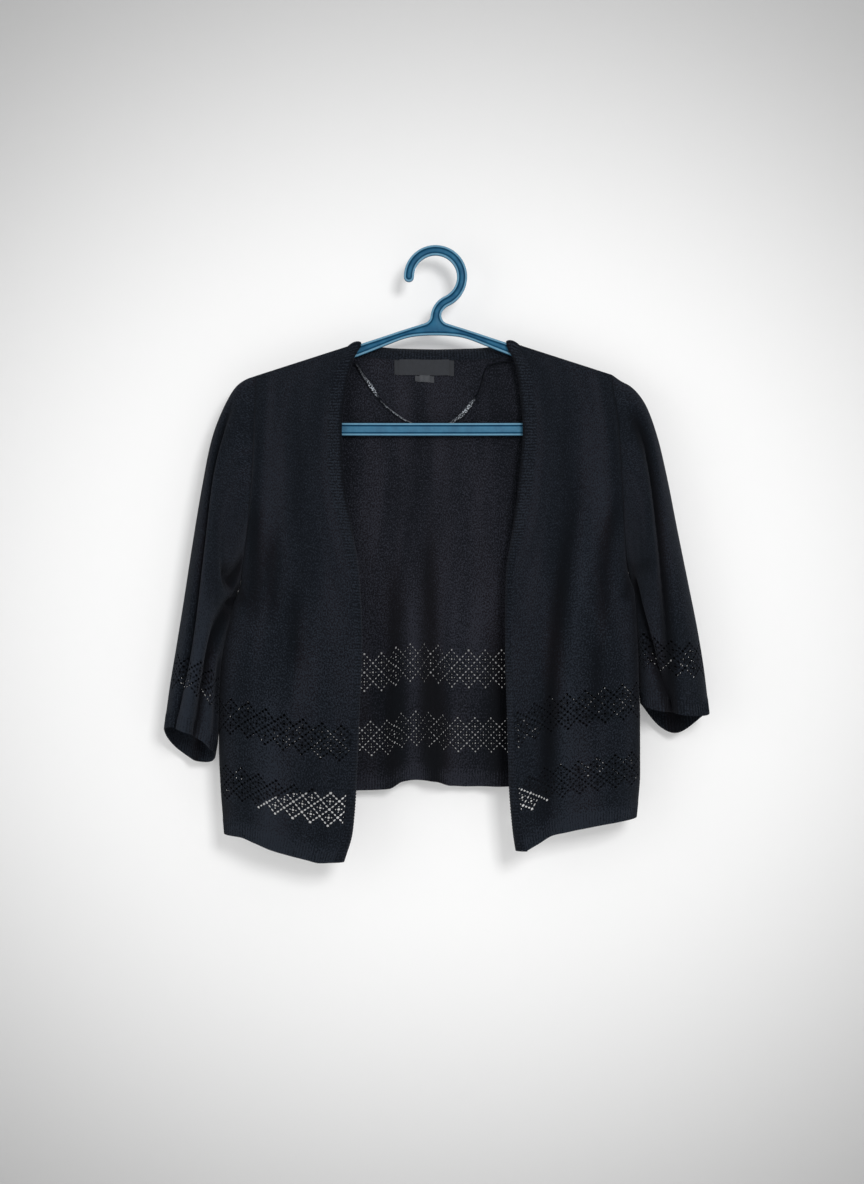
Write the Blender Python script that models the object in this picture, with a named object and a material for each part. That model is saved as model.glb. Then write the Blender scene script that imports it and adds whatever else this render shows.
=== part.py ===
"""A fine-knit open cardigan hanging on a moulded plastic hanger.

Metres, +Z up. The origin is the top of the hook's inside, where a rail or nail carries it.
+X is the right of the picture, which is the wearer's left, and +Y points away from the viewer.
Left and right in the names are the wearer's. Every cloth piece is a thin wall on a grid of
points worked out from the tables below, and pieces stand a seam's gap apart.
"""

import math
from collections import namedtuple

import bmesh
import bpy
import numpy as np

MM = 0.001
WELD = 0.01 * MM

# Walls and seams
WALL = 1.5 * MM
SEAM_GAP = 0.3 * MM
RIB_PITCH = 3.3 * MM
RIB_HEIGHT = 0.7 * MM
RIBS_ABOVE_Z = -250 * MM
BAND_WIDTH = 15 * MM
BAND_LEAN_FADE = 15 * MM

# The shoulder line over the hanger's arms, seen from the front
SHOULDER_START_X = 77 * MM
SHOULDER_START_Z = -92.4 * MM
SHOULDER_SLOPE = 0.322
SHOULDER_ROLL = 6 * MM
TIP_X = {"right": 194 * MM, "left": 190 * MM}
NECK_X = {"right": 95 * MM, "left": 91 * MM}
SIGN = {"right": -1, "left": 1}
ARMPIT_LEVEL = 0.55

# Grid sizes
ROWS_BELOW_ARMPIT = 8
ROWS_ABOVE_ARMPIT = 9
ROLL_ROWS = 4
ROUND_COLUMNS = 4
FRONT_COLUMNS = 9
SHOULDER_COLUMNS = 4
NECK_COLUMNS = 10
SLEEVE_ROWS = 14
FRONT_ROUND_SHARE = 0.27
BACK_ROUND_SHARE = 0.08

# Side seam from the hem (level 0) to the armpit, then the armhole up to the shoulder (level 1):
# distance of each side from the middle, and half the depth of the armhole, all in mm
SideRow = namedtuple("SideRow", "level right left armhole")
SIDE_ROWS = (
    SideRow(0.00, 228, 217, 0),
    SideRow(0.10, 232, 221, 0),
    SideRow(0.20, 234, 221, 0),
    SideRow(0.30, 233.5, 220, 0),
    SideRow(0.40, 231, 219, 0),
    SideRow(0.50, 219.5, 216, 0),
    SideRow(0.55, 211, 208, 0),
    SideRow(0.60, 207, 204.5, 9),
    SideRow(0.70, 200.5, 201.5, 14),
    SideRow(0.80, 196.5, 199, 15),
    SideRow(0.90, 195, 196, 12),
    SideRow(0.97, 194, 191.5, 8),
    SideRow(1.00, 194, 190, 6),
)
HEM_SIDE_Z = {"right": -624 * MM, "left": -606 * MM}
ARMPIT_Z = {"right": -356 * MM, "left": -342 * MM}

# Visible front edges by height, and how far the band turns inwards there, in mm and degrees
EdgeRow = namedtuple("EdgeRow", "height right left roll")
EDGE_ROWS = (
    EdgeRow(-652, 98, 88, 80),
    EdgeRow(-620, 89, 83, 90),
    EdgeRow(-570, 85, 79, 110),
    EdgeRow(-500, 82, 77, 140),
    EdgeRow(-420, 79, 75, 150),
    EdgeRow(-350, 82, 76, 130),
    EdgeRow(-290, 91, 84, 60),
    EdgeRow(-240, 99, 90, 10),
    EdgeRow(-190, 101, 94, 0),
    EdgeRow(-140, 96, 90, 0),
    EdgeRow(-118, 90, 85.5, 0),
    EdgeRow(-104, 80, 76, 0),
)

# Hem of each front from its front edge (0) to its side seam (1), heights in mm
HemRow = namedtuple("HemRow", "share right left")
HEM_ROWS = (
    HemRow(0.00, -652, -640),
    HemRow(0.12, -652.5, -631.5),
    HemRow(0.25, -649, -622.5),
    HemRow(0.40, -644.5, -618.5),
    HemRow(0.55, -639, -615),
    HemRow(0.70, -631.5, -611.5),
    HemRow(0.85, -625, -608.5),
    HemRow(1.00, -624, -606),
)

# Hem of the back from the right side seam (0) to the left one (1), heights in mm
BackHemRow = namedtuple("BackHemRow", "share height")
BACK_HEM_ROWS = (
    BackHemRow(0.00, -624),
    BackHemRow(0.04, -607),
    BackHemRow(0.10, -589),
    BackHemRow(0.18, -582),
    BackHemRow(0.28, -580),
    BackHemRow(0.37, -579),
    BackHemRow(0.40, -577.5),
    BackHemRow(0.43, -570),
    BackHemRow(0.47, -568.3),
    BackHemRow(0.51, -569),
    BackHemRow(0.55, -574.7),
    BackHemRow(0.59, -575.4),
    BackHemRow(0.68, -574),
    BackHemRow(0.82, -579),
    BackHemRow(0.90, -584),
    BackHemRow(0.96, -594),
    BackHemRow(1.00, -606),
)

# Back neck seam by distance from the middle, with the band's lean and outward roll along it
NeckRow = namedtuple("NeckRow", "out height lean roll")
NECK_ROWS = (
    NeckRow(0, -111, 90, -80),
    NeckRow(40, -110, 85, -80),
    NeckRow(60, -108.8, 74, -75),
    NeckRow(75, -107, 52, -50),
    NeckRow(86, -105, 30, -20),
    NeckRow(95, -103.5, 18, 0),
)

# How far the two layers stand from the hanger's plane, by drop below the shoulder line, in mm
DepthRow = namedtuple("DepthRow", "drop front back")
DEPTH_ROWS = (
    DepthRow(6, 6, 6),
    DepthRow(20, 7.5, 8),
    DepthRow(80, 9, 8),
    DepthRow(120, 11, 9),
    DepthRow(200, 16, 12),
    DepthRow(300, 21, 15),
    DepthRow(400, 25, 17),
    DepthRow(580, 28, 19),
)

# Soft folds that run down a panel, from a top to a low end through a middle, in mm.
# A positive depth is a valley that sinks into the garment, a negative one is a ridge.
PanelFold = namedtuple("PanelFold", "panel top low x_top x_mid x_low width depth")
PANEL_FOLDS = (
    PanelFold("front_left", -205, -680, 166, 132, 130, 11, 8),
    PanelFold("front_left", -230, -680, 182, 152, 148, 12, -3),
    PanelFold("front_left", -250, -400, 201, 183, 184, 9, 4),
    PanelFold("front_right", -250, -400, -194, -194, -198, 10, 4),
    PanelFold("front_right", -280, -400, -174, -175, -172, 9, 3),
    PanelFold("front_right", -360, -470, -150, -150, -146, 10, 3),
    PanelFold("front_right", -430, -680, -186, -178, -182, 14, -4),
    PanelFold("back", -300, -620, 2, 3, 4, 12, 5),
    PanelFold("back", -340, -620, -37, -40, -43, 11, -5),
    PanelFold("back", -330, -620, 44, 50, 52, 14, -4),
    PanelFold("back", -240, -640, -150, -138, -134, 15, 6),
    PanelFold("back", -240, -640, 158, 140, 134, 14, 7),
)
FOLD_FADE = 45 * MM

# Folds die out towards the side seams (as a share of the panel's width) and below the shoulders:
# where that starts under the shoulder line, and the length over which they grow
FoldKeep = namedtuple("FoldKeep", "side_share start length")
FRONT_FOLD_KEEP = FoldKeep(0.2, SHOULDER_ROLL, 25 * MM)
BACK_FOLD_KEEP = FoldKeep(0.12, 80 * MM, 60 * MM)

# Sleeves from the armhole (0) to the cuff (1): the overarm and underarm lines and half the depth
SleeveRow = namedtuple("SleeveRow", "along over_x over_z under_x under_z half_depth")
SLEEVE_ROWS_TABLE = {
    "right": (
        SleeveRow(0.00, 194, -131, 211, -356, 14),
        SleeveRow(0.06, 203, -134, 214, -361, 17),
        SleeveRow(0.12, 214, -141, 217, -368, 20),
        SleeveRow(0.20, 229, -165, 221, -378, 23),
        SleeveRow(0.30, 242, -200, 226, -390, 26),
        SleeveRow(0.42, 252, -250, 233, -411, 28),
        SleeveRow(0.55, 262, -310, 235.5, -435, 29),
        SleeveRow(0.68, 272, -375, 237, -462, 29),
        SleeveRow(0.80, 280, -425, 238, -485, 28),
        SleeveRow(0.90, 287, -468, 239, -510, 27),
        SleeveRow(1.00, 293, -513, 243, -538, 26),
    ),
    "left": (
        SleeveRow(0.00, 190, -131, 208, -342, 14),
        SleeveRow(0.06, 199, -137, 212, -348, 17),
        SleeveRow(0.12, 211, -143, 216, -355, 20),
        SleeveRow(0.20, 226, -160, 219.5, -364, 23),
        SleeveRow(0.30, 239, -194, 221.5, -377, 26),
        SleeveRow(0.42, 250, -240, 222.5, -396, 28),
        SleeveRow(0.55, 261, -296, 223, -416, 29),
        SleeveRow(0.68, 273, -355, 223.5, -437, 29),
        SleeveRow(0.80, 283, -405, 224, -456, 28),
        SleeveRow(0.90, 290, -448, 224.5, -471, 27),
        SleeveRow(1.00, 295.5, -494, 225, -484, 26),
    ),
}
CUFF_LIFT = {"right": 12 * MM, "left": -5 * MM}
CUFF_DROP = {"right": 20 * MM, "left": 27 * MM}
CUFF_DROP_POWER = {"right": 1, "left": 1.8}
CUFF_FADE_FROM = 0.62
ARMHOLE_BLEND = 0.25

# Folds along a sleeve. The turn is measured round it from the overarm line over the front:
# 0.25 faces the viewer, 0.5 is the underarm and 0.75 faces away. Depths are in mm.
SleeveFold = namedtuple("SleeveFold", "sleeve start end turn_start turn_mid turn_end width depth")
SLEEVE_FOLDS = (
    SleeveFold("right", 0.22, 1.20, 0.05, 0.115, 0.13, 0.030, 6),
    SleeveFold("right", 0.42, 1.30, 0.19, 0.270, 0.30, 0.040, 12),
    SleeveFold("right", 0.06, 0.55, 0.42, 0.440, 0.46, 0.035, 6),
    SleeveFold("right", 0.30, 1.20, 0.80, 0.740, 0.72, 0.050, 9),
    SleeveFold("left", 0.12, 1.20, 0.05, 0.170, 0.24, 0.038, 12),
    SleeveFold("left", 0.08, 0.85, 0.45, 0.400, 0.33, 0.035, 7),
    SleeveFold("left", 0.30, 1.20, 0.72, 0.760, 0.80, 0.050, 9),
)
SLEEVE_FOLD_FADE = 0.12

# Neck label and care tab inside the back neck, in mm but for the number of columns
Tab = namedtuple("Tab", "left right height columns")
NECK_LABEL = Tab(-44.5, 20, 17, 6)
CARE_TAB = Tab(-22, -1.5, 7, 3)
LABEL_TOP_Z = -112.6 * MM
CARE_TAB_TOP_Z = LABEL_TOP_Z - NECK_LABEL.height * MM - SEAM_GAP
LABEL_WALL = 0.6 * MM
BACK_NECK_DEPTH = 8 * MM

# Hanging ribbon: the route's points from the right shoulder to the left one
RIBBON_DIAMETER = 2 * MM
RIBBON_STEP = 5 * MM
RibbonPoint = namedtuple("RibbonPoint", "x y z")
RIBBON_ROUTE = (
    RibbonPoint(-87.5, 2.8, -114.5),
    RibbonPoint(-84, 3.1, -119),
    RibbonPoint(-79.4, 3.7, -126.9),
    RibbonPoint(-73, 4.3, -136),
    RibbonPoint(-67.5, 4.7, -144.2),
    RibbonPoint(-57.8, 4.8, -158),
    RibbonPoint(-41.6, 4.8, -171.5),
    RibbonPoint(-27.5, 4.8, -179.8),
    RibbonPoint(-10, 4.8, -185),
    RibbonPoint(8, 4.8, -183.5),
    RibbonPoint(22, 4.8, -177),
    RibbonPoint(31, 4.8, -169),
    RibbonPoint(38.3, 4.8, -160),
    RibbonPoint(45.5, 4.8, -149),
    RibbonPoint(49.5, 4.8, -138),
    RibbonPoint(52.5, 4.7, -127),
    RibbonPoint(57, 4.3, -118.5),
    RibbonPoint(66, 3.6, -115.2),
    RibbonPoint(76, 2.9, -113.8),
    RibbonPoint(84, 2.7, -114.8),
)

# Hanger
HANGER_THICK = 6 * MM
HOOK_INNER_RADIUS = 23.2 * MM
HOOK_WIDTH = 11 * MM
HOOK_END_ANGLE = -65
STEM_TURN_RADIUS = 21 * MM
STEM_FILLET = 7 * MM
RIM_WIDTH = 1.6 * MM
RECESS_SLOPE = 0.4 * MM
RECESS_DEPTH = 2 * MM
HOOK_STEPS = 21
TURN_STEPS = 7
FILLET_STEPS = 5
FILLET_END_ANGLE = 250

# The hanger's half outline to the right of the stem, in mm: the top of the arm, round its tip
# and down to the bar, and the inside from the arch over the bar's middle to its corner
OutlinePoint = namedtuple("OutlinePoint", "x z")
ARM_OUTSIDE = (
    OutlinePoint(22, -76.6),
    OutlinePoint(38, -81.6),
    OutlinePoint(70, -92.35),
    OutlinePoint(182, -128.41),
    OutlinePoint(187, -131.2),
    OutlinePoint(190, -135.8),
    OutlinePoint(190.4, -141),
    OutlinePoint(189, -148),
    OutlinePoint(182, -166),
    OutlinePoint(172, -184),
    OutlinePoint(167.5, -190),
    OutlinePoint(162, -193.5),
    OutlinePoint(156, -194.7),
)
ARM_INSIDE = (
    OutlinePoint(0, -86.2),
    OutlinePoint(14, -86.5),
    OutlinePoint(27.5, -88),
    OutlinePoint(38.3, -91.2),
    OutlinePoint(49, -95.4),
    OutlinePoint(70.7, -104.2),
    OutlinePoint(90, -111.3),
    OutlinePoint(170, -138.6),
    OutlinePoint(174, -141.4),
    OutlinePoint(175, -146),
    OutlinePoint(171, -157),
    OutlinePoint(161, -175),
    OutlinePoint(157, -179.3),
    OutlinePoint(151, -181.1),
)

# Finishes: base colour, roughness
Finish = namedtuple("Finish", "color roughness")
KNIT = Finish((0.016, 0.019, 0.027), 0.9)
RIB_KNIT = Finish((0.014, 0.017, 0.024), 0.9)
LABEL_CLOTH = Finish((0.07, 0.07, 0.075), 0.7)
SATIN = Finish((0.05, 0.05, 0.055), 0.3)
BLUE_PLASTIC = Finish((0.09, 0.27, 0.50), 0.35)


def clear_scene():
    """Remove what the scene holds and the meshes that nothing uses."""
    for old in list(bpy.data.objects):
        bpy.data.objects.remove(old, do_unlink=True)


def make_material(name, finish):
    """A Principled material of one finish."""
    material = bpy.data.materials.new(name)
    material.use_nodes = True
    shader = material.node_tree.nodes["Principled BSDF"]
    shader.inputs["Base Color"].default_value = (*finish.color, 1.0)
    shader.inputs["Roughness"].default_value = finish.roughness
    shader.inputs["Metallic"].default_value = 0.0
    return material


def column(rows, name, unit=MM):
    """One named column of a table as an array, in metres unless another unit is given."""
    return np.array([getattr(row, name) for row in rows], float) * unit


def smooth(at, knots, values):
    """A curve through a table's values that never overshoots them (monotone cubic)."""
    rises = np.diff(values) / np.diff(knots)
    slopes = np.zeros(len(values))
    same_way = rises[:-1] * rises[1:] > 0
    mean = 2 * rises[:-1] * rises[1:] / np.where(same_way, rises[:-1] + rises[1:], 1)
    slopes[1:-1] = np.where(same_way, mean, 0)
    slopes[0] = rises[0]
    slopes[-1] = rises[-1]
    at = np.clip(at, knots[0], knots[-1])
    k = np.clip(np.searchsorted(knots, at, side="right") - 1, 0, len(knots) - 2)
    step = knots[k + 1] - knots[k]
    t = (at - knots[k]) / step
    start = (1 + 2 * t) * (1 - t) ** 2 * values[k] + t * (1 - t) ** 2 * step * slopes[k]
    end = t**2 * (3 - 2 * t) * values[k + 1] + t**2 * (t - 1) * step * slopes[k + 1]
    return start + end


def ease(t):
    """0 to 1 with no corner at either end."""
    t = np.clip(t, 0, 1)
    return t * t * (3 - 2 * t)


def unit(vectors):
    """Vectors scaled to length 1."""
    return vectors / np.maximum(np.linalg.norm(vectors, axis=-1, keepdims=True), 1e-12)


def shoulder_line(x):
    """Height of the shoulder's outer line at a distance from the middle."""
    return SHOULDER_START_Z - SHOULDER_SLOPE * (np.abs(x) - SHOULDER_START_X)


def roll_section():
    """How the cloth turns over the arm: (out, drop) from the shoulder seam to the hanging part.

    The section is a quarter of a squared circle, |y/r|^3 + |z/r|^3 = 1, so it lies flat on the arm.
    """
    angle = np.linspace(0, math.pi / 2, ROLL_ROWS + 1)
    out = SHOULDER_ROLL * np.sin(angle) ** (2 / 3)
    drop = SHOULDER_ROLL * (1 - np.cos(angle) ** (2 / 3))
    return out, drop


def side_levels():
    """Levels of the hanging rows from the hem to the foot of the shoulder's roll."""
    below = np.linspace(0, ARMPIT_LEVEL, ROWS_BELOW_ARMPIT + 1)
    above = np.linspace(ARMPIT_LEVEL, 1, ROWS_ABOVE_ARMPIT + 1)
    return np.concatenate([below, above[1:]])


def side_height(side, level):
    """Height of the side seam and armhole at a level."""
    top = shoulder_line(TIP_X[side]) - SHOULDER_ROLL
    return np.interp(level, (0, ARMPIT_LEVEL, 1), (HEM_SIDE_Z[side], ARMPIT_Z[side], top))


def side_out(side, level):
    """Distance of the side seam and armhole from the middle at a level."""
    return smooth(level, column(SIDE_ROWS, "level", 1), column(SIDE_ROWS, side))


def armhole_depth(level):
    """Half the depth of the armhole at a level, nothing below the armpit."""
    return smooth(level, column(SIDE_ROWS, "level", 1), column(SIDE_ROWS, "armhole"))


def band_reach(roll):
    """How far a band that turns by an angle reaches sideways from its seam."""
    roll = np.abs(roll)
    reach = np.where(roll < math.pi / 2, np.sin(roll) / np.maximum(roll, 1e-6), 1 / np.maximum(roll, 1e-6))
    return BAND_WIDTH * np.where(roll < 1e-3, 1, reach)


def edge_roll(height):
    """How far the front band turns inwards at a height, in radians."""
    return smooth(height, column(EDGE_ROWS, "height"), column(EDGE_ROWS, "roll", math.radians(1)))


def front_seam_out(side, height):
    """Distance from the middle of the seam between a front and its band."""
    edge = smooth(height, column(EDGE_ROWS, "height"), column(EDGE_ROWS, side))
    return edge + band_reach(edge_roll(height))


def layer_depth(layer, x, z):
    """Distance of a layer from the hanger's plane, from how far it hangs below the shoulder."""
    drop = shoulder_line(x) - z
    return smooth(drop, column(DEPTH_ROWS, "drop"), column(DEPTH_ROWS, layer))


def fold_depth(panel, x, z):
    """How far the panel's folds sink it at each point: a bell across each fold, faded at its ends."""
    depth = np.zeros(np.shape(x))
    for fold in PANEL_FOLDS:
        if fold.panel != panel:
            continue
        t = (fold.top * MM - z) / ((fold.top - fold.low) * MM)
        start, bow = fold.x_top, 4 * fold.x_mid - 3 * fold.x_top - fold.x_low
        line = (start + bow * t + (fold.x_low - start - bow) * t**2) * MM
        along = ease((fold.top * MM - z) / FOLD_FADE) * ease((z - fold.low * MM) / FOLD_FADE)
        depth += fold.depth * MM * along * np.exp(-(((x - line) / (fold.width * MM)) ** 2))
    return depth


def fold_keep(keep, side_share, x, z):
    """1 where a panel keeps its folds, 0 at its side seams and near the shoulder."""
    drop = shoulder_line(x) - z
    return ease(side_share / keep.side_share) * ease((drop - keep.start) / keep.length)


def grid_normals(points, wrap=False):
    """Unit normals of a grid from the differences along its rows and columns."""
    if wrap:
        across = np.roll(points, -1, axis=1) - np.roll(points, 1, axis=1)
    else:
        across = np.gradient(points, axis=1)
    return unit(np.cross(across, np.gradient(points, axis=0)))


def front_columns():
    """Shares across a front, from its band seam (0) to its side (1), closer where it rounds."""
    flat = np.linspace(0, 1 - FRONT_ROUND_SHARE, FRONT_COLUMNS + 1)
    turn = np.linspace(0, math.pi / 2, ROUND_COLUMNS + 1)
    rounding = 1 - FRONT_ROUND_SHARE * (1 - np.cos(turn[::-1]))
    return np.concatenate([flat, rounding[1:]])


def round_share(distance_share, share):
    """Quarter of an ellipse: 0 at the side, 1 where the layer lies flat."""
    return np.sqrt(1 - (1 - np.clip(distance_share / share, 0, 1)) ** 2)


def add_roll(points, layer_sign, keep_x):
    """Add the rows that turn over the arm above a grid's top row, at the same distances from the middle."""
    out, drop = roll_section()
    rows = []
    for y, fall in zip(out[::-1][1:], drop[::-1][1:]):
        row = points[-1].copy()
        row[:, 1] = layer_sign * np.maximum(y, SEAM_GAP / 2)
        row[:, 2] = shoulder_line(keep_x) - fall
        rows.append(row)
    return np.concatenate([points, np.array(rows)])


def seam_square(normals, points, side_columns, armpit_row):
    """Turn the normals at the seams so that the walls of two pieces meet face to face.

    Along the shoulder seam they have no y part, down the side seam they point straight out, and
    along the armhole they have no x part and are square to the armhole's own line.
    """
    normals[-1, :, 1] = 0
    normals[-1] = unit(normals[-1])
    for index, sign in side_columns:
        normals[:armpit_row, index] = (sign, 0, 0)
        line = points[armpit_row:, index]
        along = np.gradient(line, axis=0)
        along[0] = (0, np.sign(line[1, 1]), 0)
        along[-1] = (0, -np.sign(line[1, 1]), 0)
        square = np.stack([np.zeros(len(line)), along[:, 2], -along[:, 1]], axis=1)
        square *= np.sign(line[1, 1])
        square[0] = (0, 0, -1)
        square[-1] = (0, 0, 1)
        normals[armpit_row:, index] = unit(square)
    return normals


def front_points(side):
    """Outer points and normals of one front: rows from hem to shoulder seam, columns from band to side."""
    sign = SIGN[side]
    levels = side_levels()[:, None]
    share = front_columns()[None, :]
    hem = smooth(share, column(HEM_ROWS, "share", 1), column(HEM_ROWS, side))
    top_x = NECK_X[side] + (TIP_X[side] - NECK_X[side]) * share
    top = shoulder_line(top_x) - SHOULDER_ROLL
    z_side = side_height(side, levels)
    rise = (z_side - HEM_SIDE_Z[side]) / (z_side[-1] - HEM_SIDE_Z[side])
    z = hem + (top - hem) * rise
    seam = front_seam_out(side, z[:, :1])
    seam[-1] = NECK_X[side]
    x = seam + (side_out(side, levels) - seam) * share
    depth = layer_depth("front", x, z)
    rim = armhole_depth(levels)
    rounding = round_share(1 - share, FRONT_ROUND_SHARE)
    y = rim + (depth - rim) * rounding
    y -= fold_depth("front_" + side, sign * x, z) * fold_keep(FRONT_FOLD_KEEP, 1 - share, x, z)
    y = np.maximum(y, SEAM_GAP / 2)
    points = np.stack([sign * x, -y, z], axis=-1)
    points = add_roll(points, -1, top_x[0])
    normals = grid_normals(points) * sign
    return points, seam_square(normals, points, [(-1, sign)], ROWS_BELOW_ARMPIT)


def back_columns():
    """Shares across the back, from the right side (0) to the left (1), with a column at each neck corner."""
    width = TIP_X["right"] + TIP_X["left"]
    neck_right = (TIP_X["right"] - NECK_X["right"]) / width
    neck_left = 1 - (TIP_X["left"] - NECK_X["left"]) / width
    turn = np.linspace(0, math.pi / 2, ROUND_COLUMNS + 1)
    rounding = BACK_ROUND_SHARE * (1 - np.cos(turn))
    right = np.linspace(BACK_ROUND_SHARE, neck_right, SHOULDER_COLUMNS + 1)
    neck = np.linspace(neck_right, neck_left, NECK_COLUMNS + 1)
    left = np.linspace(neck_left, 1 - BACK_ROUND_SHARE, SHOULDER_COLUMNS + 1)
    return np.concatenate([rounding, right[1:], neck[1:], left[1:], 1 - rounding[::-1][1:]])


def back_points():
    """Outer points and normals of the back: rows from hem to shoulder, columns from right to left.

    Between the neck corners the panel ends at the foot of the roll, where the band is sewn on.
    """
    levels = side_levels()[:, None]
    share = back_columns()[None, :]
    x_right = -side_out("right", levels)
    x_left = side_out("left", levels)
    x = x_right + (x_left - x_right) * share
    hem = smooth(share, column(BACK_HEM_ROWS, "share", 1), column(BACK_HEM_ROWS, "height"))
    top_x = -TIP_X["right"] + (TIP_X["right"] + TIP_X["left"]) * share
    neck = smooth(np.abs(top_x), column(NECK_ROWS, "out"), column(NECK_ROWS, "height"))
    on_neck = (top_x > -NECK_X["right"] + MM) & (top_x < NECK_X["left"] - MM)
    top = np.where(on_neck, neck, shoulder_line(top_x) - SHOULDER_ROLL)
    rise = np.zeros((len(levels), share.shape[1]))
    for side, weight in (("right", 1 - share), ("left", share)):
        z_side = side_height(side, levels)
        rise += weight * (z_side - HEM_SIDE_Z[side]) / (z_side[-1] - HEM_SIDE_Z[side])
    z = hem + (top - hem) * rise
    depth = layer_depth("back", x, z)
    rim = armhole_depth(levels)
    edge_share = np.minimum(share, 1 - share)
    y = rim + (depth - rim) * round_share(edge_share, BACK_ROUND_SHARE)
    y -= fold_depth("back", x, z) * fold_keep(BACK_FOLD_KEEP, edge_share, x, z)
    y = np.maximum(y, SEAM_GAP / 2)
    points = np.stack([x, y, z], axis=-1)
    points = add_roll(points, 1, top_x[0])
    normals = -grid_normals(points)
    return points, seam_square(normals, points, [(0, -1), (-1, 1)], ROWS_BELOW_ARMPIT)


def wall_object(name, outer, inner, keep=None, wrap=False):
    """A closed wall between two grids of points, leaving out the cells that keep says no to.

    Cells become quads on both sides, and each edge that only one cell has gets a face across the
    wall. It is a loft, because the walls meet face to face at seams, which Solidify doesn't keep.
    """
    rows, columns = outer.shape[:2]
    count = rows * columns
    mesh = bmesh.new()
    verts = [mesh.verts.new(p) for p in np.concatenate([outer.reshape(-1, 3), inner.reshape(-1, 3)])]
    edges = {}
    for r in range(rows - 1):
        for c in range(columns if wrap else columns - 1):
            if keep is not None and not keep[r, c]:
                continue
            d = (c + 1) % columns
            loop = (r * columns + c, r * columns + d, (r + 1) * columns + d, (r + 1) * columns + c)
            mesh.faces.new([verts[i] for i in loop])
            mesh.faces.new([verts[i + count] for i in reversed(loop)])
            for a, b in zip(loop, loop[1:] + loop[:1]):
                edges[(a, b)] = True
    for a, b in edges:
        if (b, a) not in edges:
            mesh.faces.new([verts[b], verts[a], verts[a + count], verts[b + count]])
    loose = [vert for vert in mesh.verts if not vert.link_faces]
    bmesh.ops.delete(mesh, geom=loose, context="VERTS")
    if mesh.calc_volume(signed=True) < 0:
        bmesh.ops.reverse_faces(mesh, faces=mesh.faces[:])
    return object_from(mesh, name)


def object_from(mesh, name):
    """A scene object that holds a bmesh, shaded smooth but for its sharp edges."""
    data = bpy.data.meshes.new(name)
    mesh.to_mesh(data)
    mesh.free()
    data.shade_smooth()
    data.set_sharp_from_angle(angle=math.radians(50))
    made = bpy.data.objects.new(name, data)
    collection.objects.link(made)
    return made


def make_front(side, material):
    """One front panel."""
    outer, normals = front_points(side)
    made = wall_object("front_" + side, outer, outer - WALL * normals)
    made.data.materials.append(material)


def make_back(material):
    """The back panel, whose shoulder roll stops at the neck corners."""
    outer, normals = back_points()
    keep = np.ones((outer.shape[0] - 1, outer.shape[1] - 1), bool)
    first = ROUND_COLUMNS + SHOULDER_COLUMNS
    keep[-ROLL_ROWS:, first : first + NECK_COLUMNS] = False
    made = wall_object("back", outer, outer - WALL * normals, keep)
    made.data.materials.append(material)


def armhole_loop(side):
    """The armhole's points and normals, from the shoulder tip down the front, up the back."""
    front, front_normals = front_points(side)
    back, back_normals = back_points()
    index = 0 if side == "right" else -1
    down = front[ROWS_BELOW_ARMPIT:, -1][::-1]
    up = back[ROWS_BELOW_ARMPIT:, index][1:-1]
    points = np.concatenate([down, up])
    normals = np.concatenate(
        [front_normals[ROWS_BELOW_ARMPIT:, -1][::-1], back_normals[ROWS_BELOW_ARMPIT:, index][1:-1]]
    )
    points[0, 1] = 0
    points[len(down) - 1, 1] = 0
    return points + np.array([SIGN[side] * SEAM_GAP, 0, 0]), normals


def tube_points(side, along, turn):
    """A sleeve as a tube: an ellipse from the overarm to the underarm line, deep as the table says."""
    rows = SLEEVE_ROWS_TABLE[side]
    knots = column(rows, "along", 1)
    over = np.stack([SIGN[side] * smooth(along, knots, column(rows, "over_x")), 0 * along,
                     smooth(along, knots, column(rows, "over_z"))], axis=-1)
    under = np.stack([SIGN[side] * smooth(along, knots, column(rows, "under_x")), 0 * along,
                      smooth(along, knots, column(rows, "under_z"))], axis=-1)
    half_depth = smooth(along, knots, column(rows, "half_depth"))
    cosine = np.cos(2 * math.pi * turn)[..., None]
    sine = np.sin(2 * math.pi * turn)
    points = (over + under) / 2 + (over - under) / 2 * cosine
    points[..., 1] -= half_depth * sine
    fade = ease((along - CUFF_FADE_FROM) / (1 - CUFF_FADE_FROM))
    drop = CUFF_DROP[side] * np.abs(sine) ** CUFF_DROP_POWER[side]
    points[..., 2] += fade * np.where(sine > 0, CUFF_LIFT[side] * sine, -drop)
    return points


def sleeve_fold_depth(side, along, turn):
    """How far the folds sink a sleeve at each point."""
    depth = np.zeros(np.broadcast(along, turn).shape)
    for fold in SLEEVE_FOLDS:
        if fold.sleeve != side:
            continue
        t = (along - fold.start) / (fold.end - fold.start)
        bow = 4 * fold.turn_mid - 3 * fold.turn_start - fold.turn_end
        line = fold.turn_start + bow * t + (fold.turn_end - fold.turn_start - bow) * t**2
        fade = ease((along - fold.start) / SLEEVE_FOLD_FADE) * ease((fold.end - along) / SLEEVE_FOLD_FADE)
        depth += fold.depth * MM * fade * np.exp(-(((turn - line) / fold.width) ** 2))
    return depth


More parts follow.
